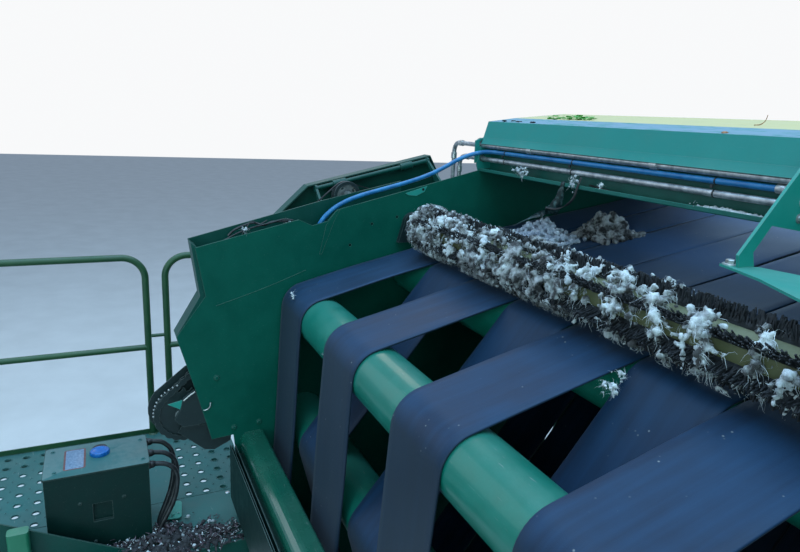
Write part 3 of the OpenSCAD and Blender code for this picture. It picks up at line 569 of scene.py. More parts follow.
# The heap's lint is white; its blue tint is painted sky light.
lint_heap = simple("lint_heap", (0.34, 0.40, 0.50), (0.86, 0.92, 1.0), 0.95, 0.0, 30.0, bump=0.8,
                   bump_scale=260.0, Sheen_Weight=0.3)
leaf_green = simple("leaf_green", (0.06, 0.26, 0.04), (0.16, 0.48, 0.09), 0.6, 0.0, 30.0)
twig_brown = simple("twig_brown", (0.09, 0.05, 0.02), (0.50, 0.22, 0.10), 0.8, 0.0, 60.0, bump=0.4)
shred_film = simple("shred_film", (0.004, 0.016, 0.016), (0.09, 0.17, 0.17), 0.35, 0.0, 60.0, bump=0.8,
                    spread=(0.5, 0.75))
shred_purple = simple("shred_purple", (0.020, 0.012, 0.016), (0.16, 0.12, 0.14), 0.8, 0.0, 40.0, bump=0.4)
lint_dark = simple("lint_dark", (0.010, 0.010, 0.012), (0.075, 0.075, 0.080), 0.95, 0.0, 34.0, bump=1.0,
                   bump_scale=240.0)
bristle_black = simple("bristle_black", (0.006, 0.007, 0.009), (0.03, 0.034, 0.04), 0.6, 0.0, 90.0,
                       bump=0.3)
# A near-black finish for discs painted as the shade inside holes.
hole_shade_black = simple("hole_shade_black", (0.002, 0.002, 0.002), (0.005, 0.005, 0.005), 0.9, 0.0, 30.0, bump=0.0)
print("materials:", len(bpy.data.materials))


# %% [markdown]
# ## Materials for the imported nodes
#
# Where a node's own shape is right it stays, and only its material changes.


# %% Give each node its finish
FINISHES = {
    wall_green: ["left_wall", "right_wall", "gate_sides", "gate_cross_tubes", "gate_apron",
                 "gate_hinge_brackets", "feed_floor", "base_frame"],
    sheet_green: ["left_wall_outer_sheet", "right_wall_outer_sheet", "left_shield_door",
                  "right_shield_door", "shield_hinge_rails", "walkway_frame", "walkway_side_plate"],
    shaded_box_green: ["control_box"],
    rail_green: ["handrails"],
    hood_top: ["hood_cover"],
    hood_teal: ["hood_end_plates", "pipe_fitting_block"],
    bracket_teal: ["hood_bracket", "curved_guide"],
    deck_teal: ["walkway_deck"],
    drum_green: ["upper_rollers", "front_rollers", "gate_rollers"],
    glossy_green: ["front_cross_channel"],
    olive_tube: ["brush_core"],
    dark_steel: ["brush_bearings", "chain_wheels", "drive_chain", "chain_guard", "barrel_pins",
                 "left_cylinder_barrel", "right_cylinder_barrel"],
    chrome: ["left_cylinder_rod", "right_cylinder_rod"],
    bare_steel: ["floor_rollers"],
    bristle_black: ["brush_bristles"],
    belt_rubber: ["long_belts", "dive_belts", "gate_belts"],
}
for material, names in FINISHES.items():
    for name in names:
        mesh = nodes[name].data
        dress(mesh, material)
        mesh.set_sharp_from_angle(angle=math.radians(NODE_SHARP))
print("nodes left for other cells:", sorted(set(nodes) - {n for names in FINISHES.values() for n in names}))


# %% [markdown]
# ## Hose and cables
#
# The blue hose runs along the channel under the hood, bends round the channel's end and dips into
# the gap behind the left wall. Three black cables leave the control box and drop into the deck.
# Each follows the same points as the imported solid, with more steps between them. The hose is drawn
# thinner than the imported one, as thin as the photograph shows it.


# %% The hose
HOSE_R, HOSE_Y, HOSE_Z = 0.0095, -0.161, 3.006
GAP_X = -1.264
HOSE_POINTS = [(x, HOSE_Y, HOSE_Z) for x in (0.200, -0.200, -0.640, -0.900, -1.030, -1.097)]
HOSE_POINTS += [(-1.154, -0.164, 3.006), (-1.207, -0.184, 3.001), (-1.244, -0.225, 2.986),
                (-1.261, -0.279, 2.961)]
HOSE_POINTS += [(GAP_X, y, z) for y, z in (
    (-0.338, 2.930), (-0.402, 2.900), (-0.480, 2.872), (-0.570, 2.847), (-0.660, 2.824), (-0.740, 2.803),
    (-0.810, 2.778), (-0.870, 2.744), (-0.915, 2.700), (-0.942, 2.646), (-0.951, 2.588), (-0.951, 2.530))]


def line_length(line):
    return sum((b - a).length for a, b in zip(line, line[1:]))


def cord_piece(name, points, radius, material, node, sides=14):
    line = smooth_path(points, 8)
    piece = one(name, material, tube, line, radius, sides, sharp=ROUND_SHARP)
    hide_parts(node)
    print(name, "is", round(line_length(line), 3), "m long")


cord_piece("blue_hose_line", HOSE_POINTS, HOSE_R, hose_blue, "blue_hose")


# %% The three cables of the control box
DECK_TOP = 1.400
BOX_LOW, BOX_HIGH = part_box("control_box")
CABLE_R = 0.010
# columns: x and height of the cable at the box, how far it reaches out
CABLES = [(-1.405, 1.728, 0.108), (-1.330, 1.716, 0.114), (-1.265, 1.700, 0.110)]
# columns: share of the reach, share of the drop, share of the way to the foot
CABLE_COURSE = [(0, 0, 0), (0.26, 0, 0), (0.62, 0.030, 0.03), (0.89, 0.115, 0.09), (1, 0.235, 0.18),
                (0.98, 0.360, 0.31), (0.91, 0.485, 0.46), (0.79, 0.605, 0.62), (0.64, 0.705, 0.77),
                (0.50, 0.790, 0.88), (0.385, 0.860, 0.955), (0.31, 0.930, 1), (0.31, 1, 1)]
CABLE_FOOT_X, CABLE_FOOT_GAP = -1.250, 0.026
BOX_FACE_Y = -1.640
for i, (x, z, reach) in enumerate(CABLES):
    foot_x = CABLE_FOOT_X + (i - 1) * CABLE_FOOT_GAP
    drop = z - DECK_TOP
    cord_piece(f"box_cable_{i + 1}",
               [(x + (foot_x - x) * way, BOX_FACE_Y + reach * out, z - drop * down)
                for out, down, way in CABLE_COURSE],
               CABLE_R, cable_black, "box_cables", 12)


# %% [markdown]
# ## Belts
#
# A real belt is never a flat plate: its edges curl a little, it sags between rollers and it wanders
# sideways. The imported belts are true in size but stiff. Each belt is drawn again along the same
# path, as a thin band with a rounded edge, and moved by a few millimetres of slow noise.


# %% Where the belts run
ROLLER_R, BELT_T, PLAY = 0.094, 0.008, 0.0003
WANDER, WAVE, EDGE_WAVE, CURL = 0.0015, 0.006, 0.0016, 0.010
PITCH, GAP, COUNT = 0.270, 0.008, 9
LONG_PATH = [(0.850, 2.704), (-0.500, 2.472), (-1.000, 2.350), (-1.060, 1.200), (-0.700, 0.730)]
DIVE_PATH = [(0.850, 2.704), (-0.500, 2.472), (-1.000, 1.850), (-0.700, 0.730)]
GATE_PATH = [(1.310, 0.640), (1.560, 1.620), (1.430, 2.300), (1.130, 2.600)]


def belt_line(path, radius, step=0.05, arc_step=9.0):
    """Points and outward normals of a closed band round the rollers, anticlockwise in Y and Z."""
    line = []
    count = len(path)
    for i in range(count):
        before, here, after = (Vector(path[(i + k) % count]) for k in (-1, 0, 1))
        a = math.atan2(*(here - before).yx)
        b = math.atan2(*(after - here).yx)
        swing = (b - a) % math.tau
        if swing > math.pi:
            swing -= math.tau
        sign = 1 if swing >= 0 else -1
        steps = max(2, round(math.degrees(abs(swing)) / arc_step))
        for k in range(steps + 1):
            t = a + swing * k / steps
            normal = Vector((math.sin(t), -math.cos(t)))
            line.append((here + normal * radius * sign, normal * sign, 0.0))
        t = b
        normal = Vector((math.sin(t), -math.cos(t)))
        start = here + normal * radius
        span = (after - here).length
        steps = max(1, round(span / step))
        for k in range(1, steps):
            line.append((start + (after - here) * k / steps, normal, math.sin(math.pi * k / steps)))
    return line


# %% One belt as a thin band with rounded edges
FIRST_BELT_SEED = 11


def belt_mesh(builder, path, index, seed, divisions, sag):
    rng = random.Random(seed)
    shift = rng.uniform(-WANDER, WANDER)
    x0 = -COUNT * PITCH / 2 + index * PITCH + GAP / 2 + shift
    width = PITCH - GAP
    line = belt_line(path, ROLLER_R + PLAY + BELT_T / 2)
    half = BELT_T / 2
    inner = [k / divisions for k in range(1, divisions)]
    section = [(0.0, -0.45), (0.0, 0.45), (0.012, 1.0)] + [(u, 1.0) for u in inner]
    section += [(0.988, 1.0), (1.0, 0.45), (1.0, -0.45), (0.988, -1.0)]
    section += [(u, -1.0) for u in reversed(inner)] + [(0.012, -1.0)]
    verts = []
    for point, normal, free in line:
        for u, side in section:
            wave = noise.noise(Vector((u * 1.3 + index * 5.1, point[0] * 2.3, point[1] * 2.3 + seed)))
            edge_wave = noise.noise(Vector((index * 3.7 + round(u) * 9.0, point[0] * 3.5, point[1] * 3.5)))
            out = side * half + free * (wave * WAVE - sag * 0.5) + free * abs(u - 0.5) ** 2 * CURL
            x = x0 + u * width + (edge_wave * EDGE_WAVE if u < 0.02 or u > 0.98 else 0.0)
            verts.append((x, point[0] + normal[0] * out, point[1] + normal[1] * out))
    builder.add(verts, loft_faces(len(line), len(section), closed=True))


for name, path, indices, body in (("long_belts_soft", LONG_PATH, range(0, COUNT, 2), "frame"),
                                  ("dive_belts_soft", DIVE_PATH, range(1, COUNT, 2), "frame"),
                                  ("gate_belts_soft", GATE_PATH, range(COUNT), "rear_gate")):
    build = Builder()
    divisions, sag = (4, 0.002) if body == "rear_gate" else (10, 0.004)
    for i in indices:
        belt_mesh(build, path, i, FIRST_BELT_SEED + i, divisions, sag)
    piece = build.piece(name, belt_rubber, body, sharp=ROUND_SHARP)
    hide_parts(name.replace("_soft", ""))
    print(name, "faces:", len(piece.data.polygons))


# %% [markdown]
# ## Brush roll and its lint
#
# The roll strips cotton from the belts. Its black bristle strips are full of lint: knobbly grey and
# white clumps that sit between the strips and hang over them. Strips are rows of thin tufts.
# Clumps are made as many overlapping balls, melted together by a voxel remesh and roughened.


# %% Bristle tufts on six strips
AXIS_Y, AXIS_Z = -0.510, 2.685
CORE_R, TIP_R = 0.050, 0.098
BRUSH_HALF = 1.090
STRIPS, STRIP_HALF, STRIP_RISE = 6, 0.007, 0.012
BRISTLE_HALF, BRISTLE_TAPER = 0.0024, 0.6
TUFT_STEP, TUFT_ROWS = (0.0046, 0.0066), (-0.0055, -0.0018, 0.0018, 0.0055)
TUFT_LEAN, TUFT_SPREAD, TIP_LOSS, TUFT_ROOT = 0.012, 0.009, 0.020, 0.008


def on_brush(x, angle, radius, offset=0.0):
    c, s = math.cos(angle), math.sin(angle)
    return Vector((x, AXIS_Y - s * radius + c * offset, AXIS_Z + c * radius + s * offset))


def make_bristles():
    rng = random.Random(5)
    build = Builder()
    w, thin = BRISTLE_HALF, BRISTLE_HALF * BRISTLE_TAPER
    for strip in range(STRIPS):
        angle = strip * math.tau / STRIPS
        low, high = CORE_R - 0.001, CORE_R + STRIP_RISE
        corners = [on_brush(side * BRUSH_HALF, angle, r, off) for side in (-1, 1)
                   for r, off in ((low, -STRIP_HALF), (low, STRIP_HALF), (high, STRIP_HALF),
                                  (high, -STRIP_HALF))]
        build.add(corners, [(0, 1, 2, 3), (7, 6, 5, 4), (0, 4, 5, 1), (1, 5, 6, 2), (2, 6, 7, 3),
                            (3, 7, 4, 0)])
        x = -BRUSH_HALF
        while x < BRUSH_HALF - 0.01:
            x += rng.uniform(*TUFT_STEP)
            for row in TUFT_ROWS:
                lean = rng.uniform(-TUFT_LEAN, TUFT_LEAN)
                spread = rng.uniform(-TUFT_SPREAD, TUFT_SPREAD)
                tip = TIP_R - rng.random() ** 1.5 * TIP_LOSS
                foot = [on_brush(x + dx, angle, CORE_R + TUFT_ROOT, row + dy)
                        for dx, dy in ((-w, -w), (w, -w), (w, w), (-w, w))]
                head = [on_brush(x + lean + dx, angle, tip, row + spread + dy)
                        for dx, dy in ((-thin, -thin), (thin, -thin), (thin, thin), (-thin, thin))]
                build.add(foot + head, [(0, 1, 5, 4), (1, 2, 6, 5), (2, 3, 7, 6), (3, 0, 4, 7),
                                        (4, 5, 6, 7)])
    piece = build.piece("bristle_tufts", bristle_black, "brush_roll", sharp=20)
    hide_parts("brush_bristles")
    return piece


print("bristle faces:", len(make_bristles().data.polygons))


# %% Melt balls into one knobbly lump of lint
def ico_template():
    bm = bmesh.new()
    bmesh.ops.create_icosphere(bm, subdivisions=1, radius=1.0)
    verts = numpy.array([v.co for v in bm.verts])
    faces = numpy.array([[v.index for v in f.verts] for f in bm.faces])
    bm.free()
    return verts, faces


BALL_VERTS, BALL_FACES = ico_template()


def melted(name, balls, voxel, material, body, rough=0.003, seed=1, limit=None):
    """One mesh from overlapping balls, each (centre, radius)."""
    centres = numpy.array([tuple(c) for c, _ in balls])
    radii = numpy.array([r for _, r in balls])
    verts = (centres[:, None, :] + BALL_VERTS[None] * radii[:, None, None]).reshape(-1, 3)
    faces = (BALL_FACES[None] + numpy.arange(len(balls))[:, None, None] * len(BALL_VERTS)).reshape(-1, 3)
    mesh = bpy.data.meshes.new(name)
    mesh.from_pydata(verts.tolist(), [], faces.tolist())
    piece = new_object(name, mesh)
    remesh = piece.modifiers.new("melt", "REMESH")
    remesh.mode = "VOXEL"
    remesh.voxel_size = voxel
    depsgraph = bpy.context.evaluated_depsgraph_get()
    mesh = bpy.data.meshes.new_from_object(piece.evaluated_get(depsgraph))
    piece.modifiers.remove(remesh)
    old = piece.data
    piece.data = mesh
    bpy.data.meshes.remove(old)
    normals = [v.normal.copy() for v in mesh.vertices]
    for vertex, normal in zip(mesh.vertices, normals):
        p = vertex.co * 85 + Vector((seed, 0, 0))
        push = noise.fractal(p, 0.7, 2.3, 4) * rough
        vertex.co = vertex.co + normal * push
        if limit:
            vertex.co = limit(vertex.co)
    dress(mesh, material)
    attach(piece, body)
    return piece


LINT_REACH = 0.106


def inside_brush_reach(point):
    """Lint on the roll stays inside the circle that clears the belts as the roll turns."""
    arm = Vector((0, point.y - AXIS_Y, point.z - AXIS_Z))
    reach = arm.length
    if reach > LINT_REACH:
        arm *= LINT_REACH / reach
    return Vector((point.x, AXIS_Y + arm.y, AXIS_Z + arm.z))


# %% Lint on the roll
LINT_CREST = 0.103
LINT_FROM, LINT_TO = -1.075, 1.08
LINT_HALF, LEFT_SHARE = 1.10, 0.45


def lint_on_roll(name, material, seed, count, size, where, voxel):
    """Ragged wisps: each is a wandering rope of balls, thick at one end, that lies round the roll."""
    rng = random.Random(seed)
    balls = []
    for _ in range(count):
        x, angle, radius = where(rng)
        big = rng.uniform(*size)
        dx, da = rng.uniform(-0.4, 0.4), rng.uniform(-1, 1)
        steps = rng.randint(26, 46)
        for k in range(steps):
            thin = 1 - 0.8 * k / steps
            dx += rng.uniform(-0.3, 0.3)
            da += rng.uniform(-0.30, 0.42)
            x += dx * 0.0035
            angle += da * 0.0045 / radius
            r = rng.uniform(0.24, 0.52) * big * (0.35 + 0.65 * thin)
            loose = big * 0.38 * thin
            reach = min(radius + rng.gauss(0, big * 0.35), LINT_CREST - r * 0.6)
            along = max(LINT_FROM, min(LINT_TO, x + rng.gauss(0, loose)))
            balls.append((on_brush(along, angle + rng.gauss(0, loose) / radius, reach), r))
    return melted(name, balls, voxel, material, "brush_roll", 0.006, seed, inside_brush_reach)


def anywhere(rng):
    x = -LINT_HALF + 2 * LINT_HALF * rng.random() ** 1.5
    strip = rng.randint(0, STRIPS - 1)
    angle = strip * math.tau / STRIPS + rng.uniform(0.05, 0.95) * math.tau / STRIPS
    return x, angle, rng.uniform(0.062, 0.094)


def left_half(rng):
    x, angle, radius = anywhere(rng)
    return -LINT_HALF + (x + LINT_HALF) * LEFT_SHARE, angle, radius


BIG_WISPS, SMALL_WISPS = (0.019, 0.036), (0.014, 0.028)
roll_lint = lint_on_roll("roll_lint_mixed", lint_white, 21, 84, BIG_WISPS, anywhere, 0.0047)
thick_lint = lint_on_roll("roll_lint_dense", lint_grey, 24, 84, BIG_WISPS, left_half, 0.0047)
clean_lint = lint_on_roll("roll_lint_clean", lint_clean, 22, 44, SMALL_WISPS, anywhere, 0.0041)
for piece in (roll_lint, thick_lint, clean_lint):
    print(piece.name, "faces:", len(piece.data.polygons))


# %% [markdown]
# Lint never ends in a clean edge: loose threads stick out of it. Threads are thin flat ribbons of
# a few bent segments, cheap enough to use by the hundred.


# %% Loose threads
SEGMENTS, FIRST_BEND, BEND = 4, 0.6, 0.35


def scatter(rng, spread):
    return Vector((rng.gauss(0, spread), rng.gauss(0, spread), rng.gauss(0, spread)))


def threads(name, material, body, seed, count, place, length, width, keep=None, droop=0.12):
    rng = random.Random(seed)
    build = Builder()
    for _ in range(count):
        start, outward = place(rng)
        size = rng.uniform(*length)
        heading = (outward + scatter(rng, FIRST_BEND)).normalized()
        side = heading.orthogonal().normalized() * width
        points = [start]
        for _ in range(SEGMENTS):
            bend = Vector((rng.gauss(0, BEND), rng.gauss(0, BEND), rng.gauss(0, BEND) - droop))
            heading = (heading + bend).normalized()
            points.append(points[-1] + heading * size / SEGMENTS)
        if keep:
            points = [keep(p) for p in points]
        verts = []
        for i, p in enumerate(points):
            w = side * (1 - i / (SEGMENTS + 1))
            verts += [p - w, p + w]
        build.add(verts, [(2 * i, 2 * i + 1, 2 * i + 3, 2 * i + 2) for i in range(SEGMENTS)])
    return build.piece(name, material, body, sharp=NEVER_SHARP)


def on_lint(piece):
    vertices = piece.data.vertices

    def pick(rng):
        vertex = vertices[rng.randrange(len(vertices))]
        return vertex.co.copy(), vertex.normal.copy()
    return pick


THREADS, THREAD_LENGTH, THREAD_WIDTH, ROLL_DROOP = 5600, (0.012, 0.045), 0.0007, 0.45
for name, material, seed, lint in (("roll_threads", lint_clean, 31, roll_lint),
                                   ("roll_threads_grey", lint_grey, 32, thick_lint)):
    threads(name, material, "brush_roll", seed, THREADS, on_lint(lint), THREAD_LENGTH, THREAD_WIDTH,
            inside_brush_reach, ROLL_DROOP)
print("threads on the roll:", 2 * THREADS)


# %% [markdown]
# ## Lint that lies on the belts and the deck
#
# A small heap lies behind the roll, a tuft is caught between two belts, and dark sweepings have
# gathered round the control box on the deck.


# %% Heaps of lint
UPPER_AXIS = (-0.5, 2.472)
RISE_AHEAD, SLOPE_AHEAD = 0.1050, 0.244
RISE_BEHIND, SLOPE_BEHIND = 0.1035, 0.1722
CHANNEL_FLOOR = 2.919


def belt_top(y):
    """Height of the belts' upper face at y, ahead of and behind the upper roller."""
    if y < UPPER_AXIS[0]:
        return UPPER_AXIS[1] + RISE_AHEAD + SLOPE_AHEAD * (y - UPPER_AXIS[0])
    return UPPER_AXIS[1] + RISE_BEHIND + SLOPE_BEHIND * (y - UPPER_AXIS[0])


def level(height):
    return lambda y: height


def heap(name, material, seed, centre, spread, count, size, floor, voxel=0.0045, height=0.5):
    rng = random.Random(seed)
    balls = []
    for _ in range(count):
        dx, dy = [max(-2.0, min(2.0, rng.gauss(0, 1))) * s for s in spread]
        r = rng.uniform(*size)
        dome = max(0.0, 1 - (dx / spread[0] / 2) ** 2 - (dy / spread[1] / 2) ** 2)
        z = floor(centre[1] + dy) + r * 0.55 + rng.random() ** 2 * height * size[1] * dome * 2
        balls.append(((centre[0] + dx, centre[1] + dy, z), r))
    return melted(name, balls, voxel, material, "frame", 0.004, seed)


on_deck = level(DECK_TOP)
heaps = [
    heap("belt_lint_white", lint_heap, 41, (-0.93, -0.02), (0.082, 0.045), 560, (0.005, 0.013), belt_top,
         voxel=0.0034, height=2.8),
    heap("belt_lint_grey", lint_grey, 42, (-0.77, 0.18), (0.060, 0.045), 420, (0.008, 0.018), belt_top,
         voxel=0.0036, height=2.6),
    heap("deck_sweepings_end", lint_dark, 43, (-1.13, -1.58), (0.060, 0.085), 520, (0.004, 0.012), on_deck,
         height=1.5),
    heap("deck_sweepings_side", lint_dark, 44, (-1.172, -1.83), (0.012, 0.13), 260, (0.004, 0.010),
         on_deck),
    heap("deck_sweepings_far", lint_dark, 45, (-1.12, -1.40), (0.035, 0.075), 220, (0.004, 0.010), on_deck),
    heap("deck_lint", lint_clean, 46, (-1.14, -1.60), (0.065, 0.10), 46, (0.004, 0.009),
         level(DECK_TOP + 0.012), voxel=0.003),
    heap("channel_lint", lint_clean, 47, (0.035, -0.150), (0.055, 0.008), 150, (0.003, 0.008),
         level(CHANNEL_FLOOR), voxel=0.0026),
]
for piece in heaps:
    print(piece.name, "faces:", len(piece.data.polygons))


# %% Tufts caught on edges
def tuft(balls, rng, centre, size, count, drop):
    for _ in range(count):
        offset = Vector((rng.gauss(0, size), rng.gauss(0, size * 0.5),
                         rng.gauss(0, size * 0.6) - rng.random() * drop))
        balls.append((Vector(centre) + offset, rng.uniform(0.18, 0.5) * size))


# columns: place, size, number of balls, how far it hangs
TUFTS = [
    ((-0.911, -0.180, 2.948), 0.016, 34, 0.010),
    ((-0.595, -0.180, 2.958), 0.011, 26, 0.035),
    ((-0.460, -0.176, 2.940), 0.008, 14, 0.0),
    ((-0.079, -0.178, 2.930), 0.006, 10, 0.0),
    ((-1.098, -1.085, 2.440), 0.008, 18, 0.02),
    ((-0.700, -1.095, 2.330), 0.005, 8, 0.0),
    ((0.060, -0.500, 2.575), 0.010, 18, 0.01),
    ((0.020, -0.455, 2.585), 0.008, 12, 0.0),
    ((0.190, -0.680, 2.538), 0.011, 24, 0.0),
    ((0.165, -0.625, 2.552), 0.010, 18, 0.0),
    ((-1.240, -1.242, 2.671), 0.009, 16, 0.0),
    ((-1.290, -1.060, 2.690), 0.011, 16, 0.0),
]
rng = random.Random(61)
tuft_balls = []
for place, size, count, drop in TUFTS:
    tuft(tuft_balls, rng, place, size, count, drop)
edge_tufts = melted("edge_tufts", tuft_balls, 0.0026, lint_clean, "frame", 0.003, 61)
SHORT_THREAD = (0.006, 0.022)
threads("edge_tuft_threads", lint_clean, "frame", 62, 500, on_lint(edge_tufts), SHORT_THREAD, 0.0005)
threads("heap_threads", lint_clean, "frame", 63, 700, on_lint(heaps[0]), SHORT_THREAD, 0.0006)
print("tufts:", len(TUFTS), "faces:", len(edge_tufts.data.polygons))


# %% [markdown]
# ## Small hardware
#
# Bolts, rings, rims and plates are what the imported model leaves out. Rings and rims are a closed
# profile turned round an axis, and rows of bolts come from short tables.


# %% Rings, plates and ribbons
RIGHT, REAR, UP = (1, 0, 0), (0, 1, 0), (0, 0, 1)


def ring(builder, centre, axis, profile, sides):
    """A closed profile of radii and heights turned round an axis, open in the middle."""
    axis, side, other = axes_round(axis)
    verts = []
    for k in range(sides):
        a = math.tau * k / sides
        out = side * math.cos(a) + other * math.sin(a)
        verts += [Vector(centre) + out * radius + axis * height for radius, height in profile]
    builder.add(verts, loft_faces(sides, len(profile), closed=True))


def plate(builder, centre, across, along, width, height, thickness, corner=0.008, steps=4):
    """A flat plate with rounded corners and a small edge break, lying on centre."""
    across, along = Vector(across).normalized(), Vector(along).normalized()
    up = across.cross(along)
    outline = []
    for q, (sx, sy) in enumerate(((1, 1), (-1, 1), (-1, -1), (1, -1))):
        for k in range(steps + 1):
            a = math.tau * (q + k / steps) / 4
            outline.append((sx * (width / 2 - corner) + corner * math.cos(a),
                            sy * (height / 2 - corner) + corner * math.sin(a)))
    edge = min(thickness * 0.4, 0.001)
    layers = [(0.0, 0.0), (thickness - edge, 0.0), (thickness, edge)]
    verts = []
    for lift, inset in layers:
        for u, v in outline:
            shrink = 1 - inset * 2 / min(width, height)
            verts.append(Vector(centre) + across * u * shrink + along * v * shrink + up * lift)
    builder.add(verts, loft_faces(len(layers), len(outline)))


def ribbon(builder, points, widths, side, thickness=0.0006):
    """A torn strip through points, with a width at each of them."""
    side = Vector(side).normalized()
    verts = []
    for i, (point, width) in enumerate(zip(points, widths)):
        ahead = (points[min(i + 1, len(points) - 1)] - points[max(i - 1, 0)]).normalized()
        over = (side - ahead * side.dot(ahead)).normalized()
        face = ahead.cross(over) * thickness
        verts += [point - over * width + face, point + over * width + face,
                  point + over * width - face, point - over * width - face]
    builder.add(verts, loft_faces(len(points), 4))


def along_row(a, b, spacing):
    """Evenly spaced points from a to b, both included."""
    a, b = Vector(a), Vector(b)
    count = max(1, round((b - a).length / spacing))
    return [a.lerp(b, k / count) for k in range(count + 1)]


# %% Shreds in the sweepings on the deck
def shreds(name, material, seed, count, where, size):
    rng = random.Random(seed)
    build = Builder()
    for _ in range(count):
        (cx, cy), (sx, sy) = rng.choice(where)
        spot = Vector((cx + rng.gauss(0, sx), cy + rng.gauss(0, sy),
                       DECK_TOP + 0.004 + 0.022 * rng.random()))
        turn, tilt = rng.uniform(0, math.tau), rng.uniform(-0.7, 0.7)
        ahead = Vector((math.cos(turn) * math.cos(tilt), math.sin(turn) * math.cos(tilt), math.sin(tilt)))
        length = rng.uniform(*size)
        middle = spot + ahead * length * 0.5 + Vector((0, 0, rng.uniform(0, 0.004)))
        widths = [length * 0.10, length * 0.17, length * 0.05]
        ribbon(build, [spot, middle, spot + ahead * length], widths, ahead.orthogonal())
    return build.piece(name, material, sharp=NEVER_SHARP)


SWEPT_PLACES = [((-1.13, -1.58), (0.065, 0.085)), ((-1.172, -1.83), (0.014, 0.13)),
                ((-1.12, -1.42), (0.035, 0.070)), ((-1.20, -1.60), (0.030, 0.030))]
shreds("shreds_dark", shred_purple, 51, 900, SWEPT_PLACES, (0.010, 0.030))
shreds("shreds_pale", lint_clean, 52, 420, SWEPT_PLACES, (0.006, 0.020))


# %% Bearing bolts, nipples and weld rings
WALL_OUT, HOUSING_T, CAP_T = 1.241, 0.026, 0.012
BOLT_CIRCLE_R = 0.049
NIPPLE = [(0.007, -0.001), (0.007, 0.005), (0.0035, 0.007), (0.0035, 0.010), (0.005, 0.012), (0.003, 0.015)]
WELD = [(0.0615, 0.0), (0.068, 0.0), (0.064, 0.004), (0.0615, 0.007)]
FLOOR_ROLLERS = [(-0.060, 0.215), (0.660, 0.215)]
CHAIN_HIGH = (-1.000, 2.350)
fixed_axes = sorted(set(LONG_PATH + DIVE_PATH)) + FLOOR_ROLLERS
for body, axes in (("frame", fixed_axes), ("rear_gate", GATE_PATH)):
    hardware, dark_welds = Builder(), Builder()
    for side in (-1, 1):
        out = (side, 0, 0)
        for y, z in axes:
            for dy, dz in round_circle(4, BOLT_CIRCLE_R, 0.5):
                bolt(hardware, (side * (WALL_OUT + HOUSING_T), y + dy, z + dz), out, 0.0075, washer=False)
            ring(dark_welds, (side * WALL_OUT, y, z), out, WELD, 28)
            if side == 1 or (y, z) != CHAIN_HIGH:
                turned(hardware, (side * (WALL_OUT + HOUSING_T + CAP_T), y, z), out, NIPPLE, 10)
    hardware.piece(f"{body}_bearing_bolts", bolt_zinc, body)
    dark_welds.piece(f"{body}_bearing_welds", wall_green, body, sharp=ROUND_SHARP)
    print(body, "housings:", 2 * len(axes))


# %% Bolt rows on sheets, hinge plates and deck
SHEET_X = 1.329
# columns: from, to, spacing; Y and Z on the outer face of an outer sheet
SHEET_ROWS = [((-1.425, 2.600), (-0.905, 2.740), 0.17), ((-0.870, 2.755), (-0.560, 2.828), 0.16),
              ((-1.160, 1.835), (-0.560, 2.305), 0.19), ((-1.420, 2.035), (-1.482, 2.245), 0.11)]
ROUND_HEAD = [(0.011, -0.001), (0.0105, 0.002), (0.007, 0.0042), (0.0025, 0.005)]
# columns: X, Y on the deck's plain plate and along its edges
DECK_BOLTS = [(-1.410, -2.460), (-1.085, -2.460), (-1.410, -1.300), (-1.085, -1.300), (-1.410, -1.890),
              (-1.085, -1.890), (-1.460, -2.470), (-2.050, -2.470), (-1.460, -1.225), (-2.050, -1.225)]
HINGE_PLATE_X, WALL_IN = 1.264, 1.235
HINGE_BOLTS = [(0.640, 2.815), (0.640, 2.900), (0.820, 2.815), (0.820, 2.900)]
build = Builder()
for side in (-1, 1):
    for a, b, spacing in SHEET_ROWS:
        for spot in along_row((side * SHEET_X, *a), (side * SHEET_X, *b), spacing):
            bolt(build, spot, (side, 0, 0), 0.0075)
    for y, z in HINGE_BOLTS:
        bolt(build, (side * HINGE_PLATE_X, y, z), (side, 0, 0), 0.012)
for x, y in DECK_BOLTS:
    turned(build, (x, y, DECK_TOP), UP, ROUND_HEAD, 12)
build.piece("sheet_bolts", bolt_zinc)
build = Builder()
for y, z in ((-1.298, 1.824), (-1.192, 1.832), (-1.365, 2.060)):
    for side in (-1, 1):
        bolt(build, (side * WALL_IN, y, z), (-side, 0, 0), 0.008)
build.piece("inner_wall_bolts", wall_green)


# %% Hinge collars and cylinder fittings
HINGE = (0.950, 2.860)
COLLAR = [(0.0302, 0.0), (0.046, 0.0), (0.046, 0.010), (0.044, 0.012), (0.0302, 0.012)]
build = Builder()
for side in (-1, 1):
    ring(build, (side * (HINGE_PLATE_X + 0.002), *HINGE), (side, 0, 0), COLLAR, 32)
    bolt(build, (side * (HINGE_PLATE_X + 0.008), HINGE[0], HINGE[1] + 0.046), UP, 0.006, washer=False)
build.piece("hinge_collars", cast_grey, "rear_gate")

BARREL_PIN, ROD_PIN, CYLINDER_X = Vector((-0.150, 1.800)), Vector((1.010, 2.290)), 1.400
along = (ROD_PIN - BARREL_PIN).normalized()
upward = Vector((-along.y, along.x))


def on_barrel(side, run, lift, shift=0.0):
    place = BARREL_PIN + along * run + upward * lift
    return Vector((side * CYLINDER_X + shift, place.x, place.y))


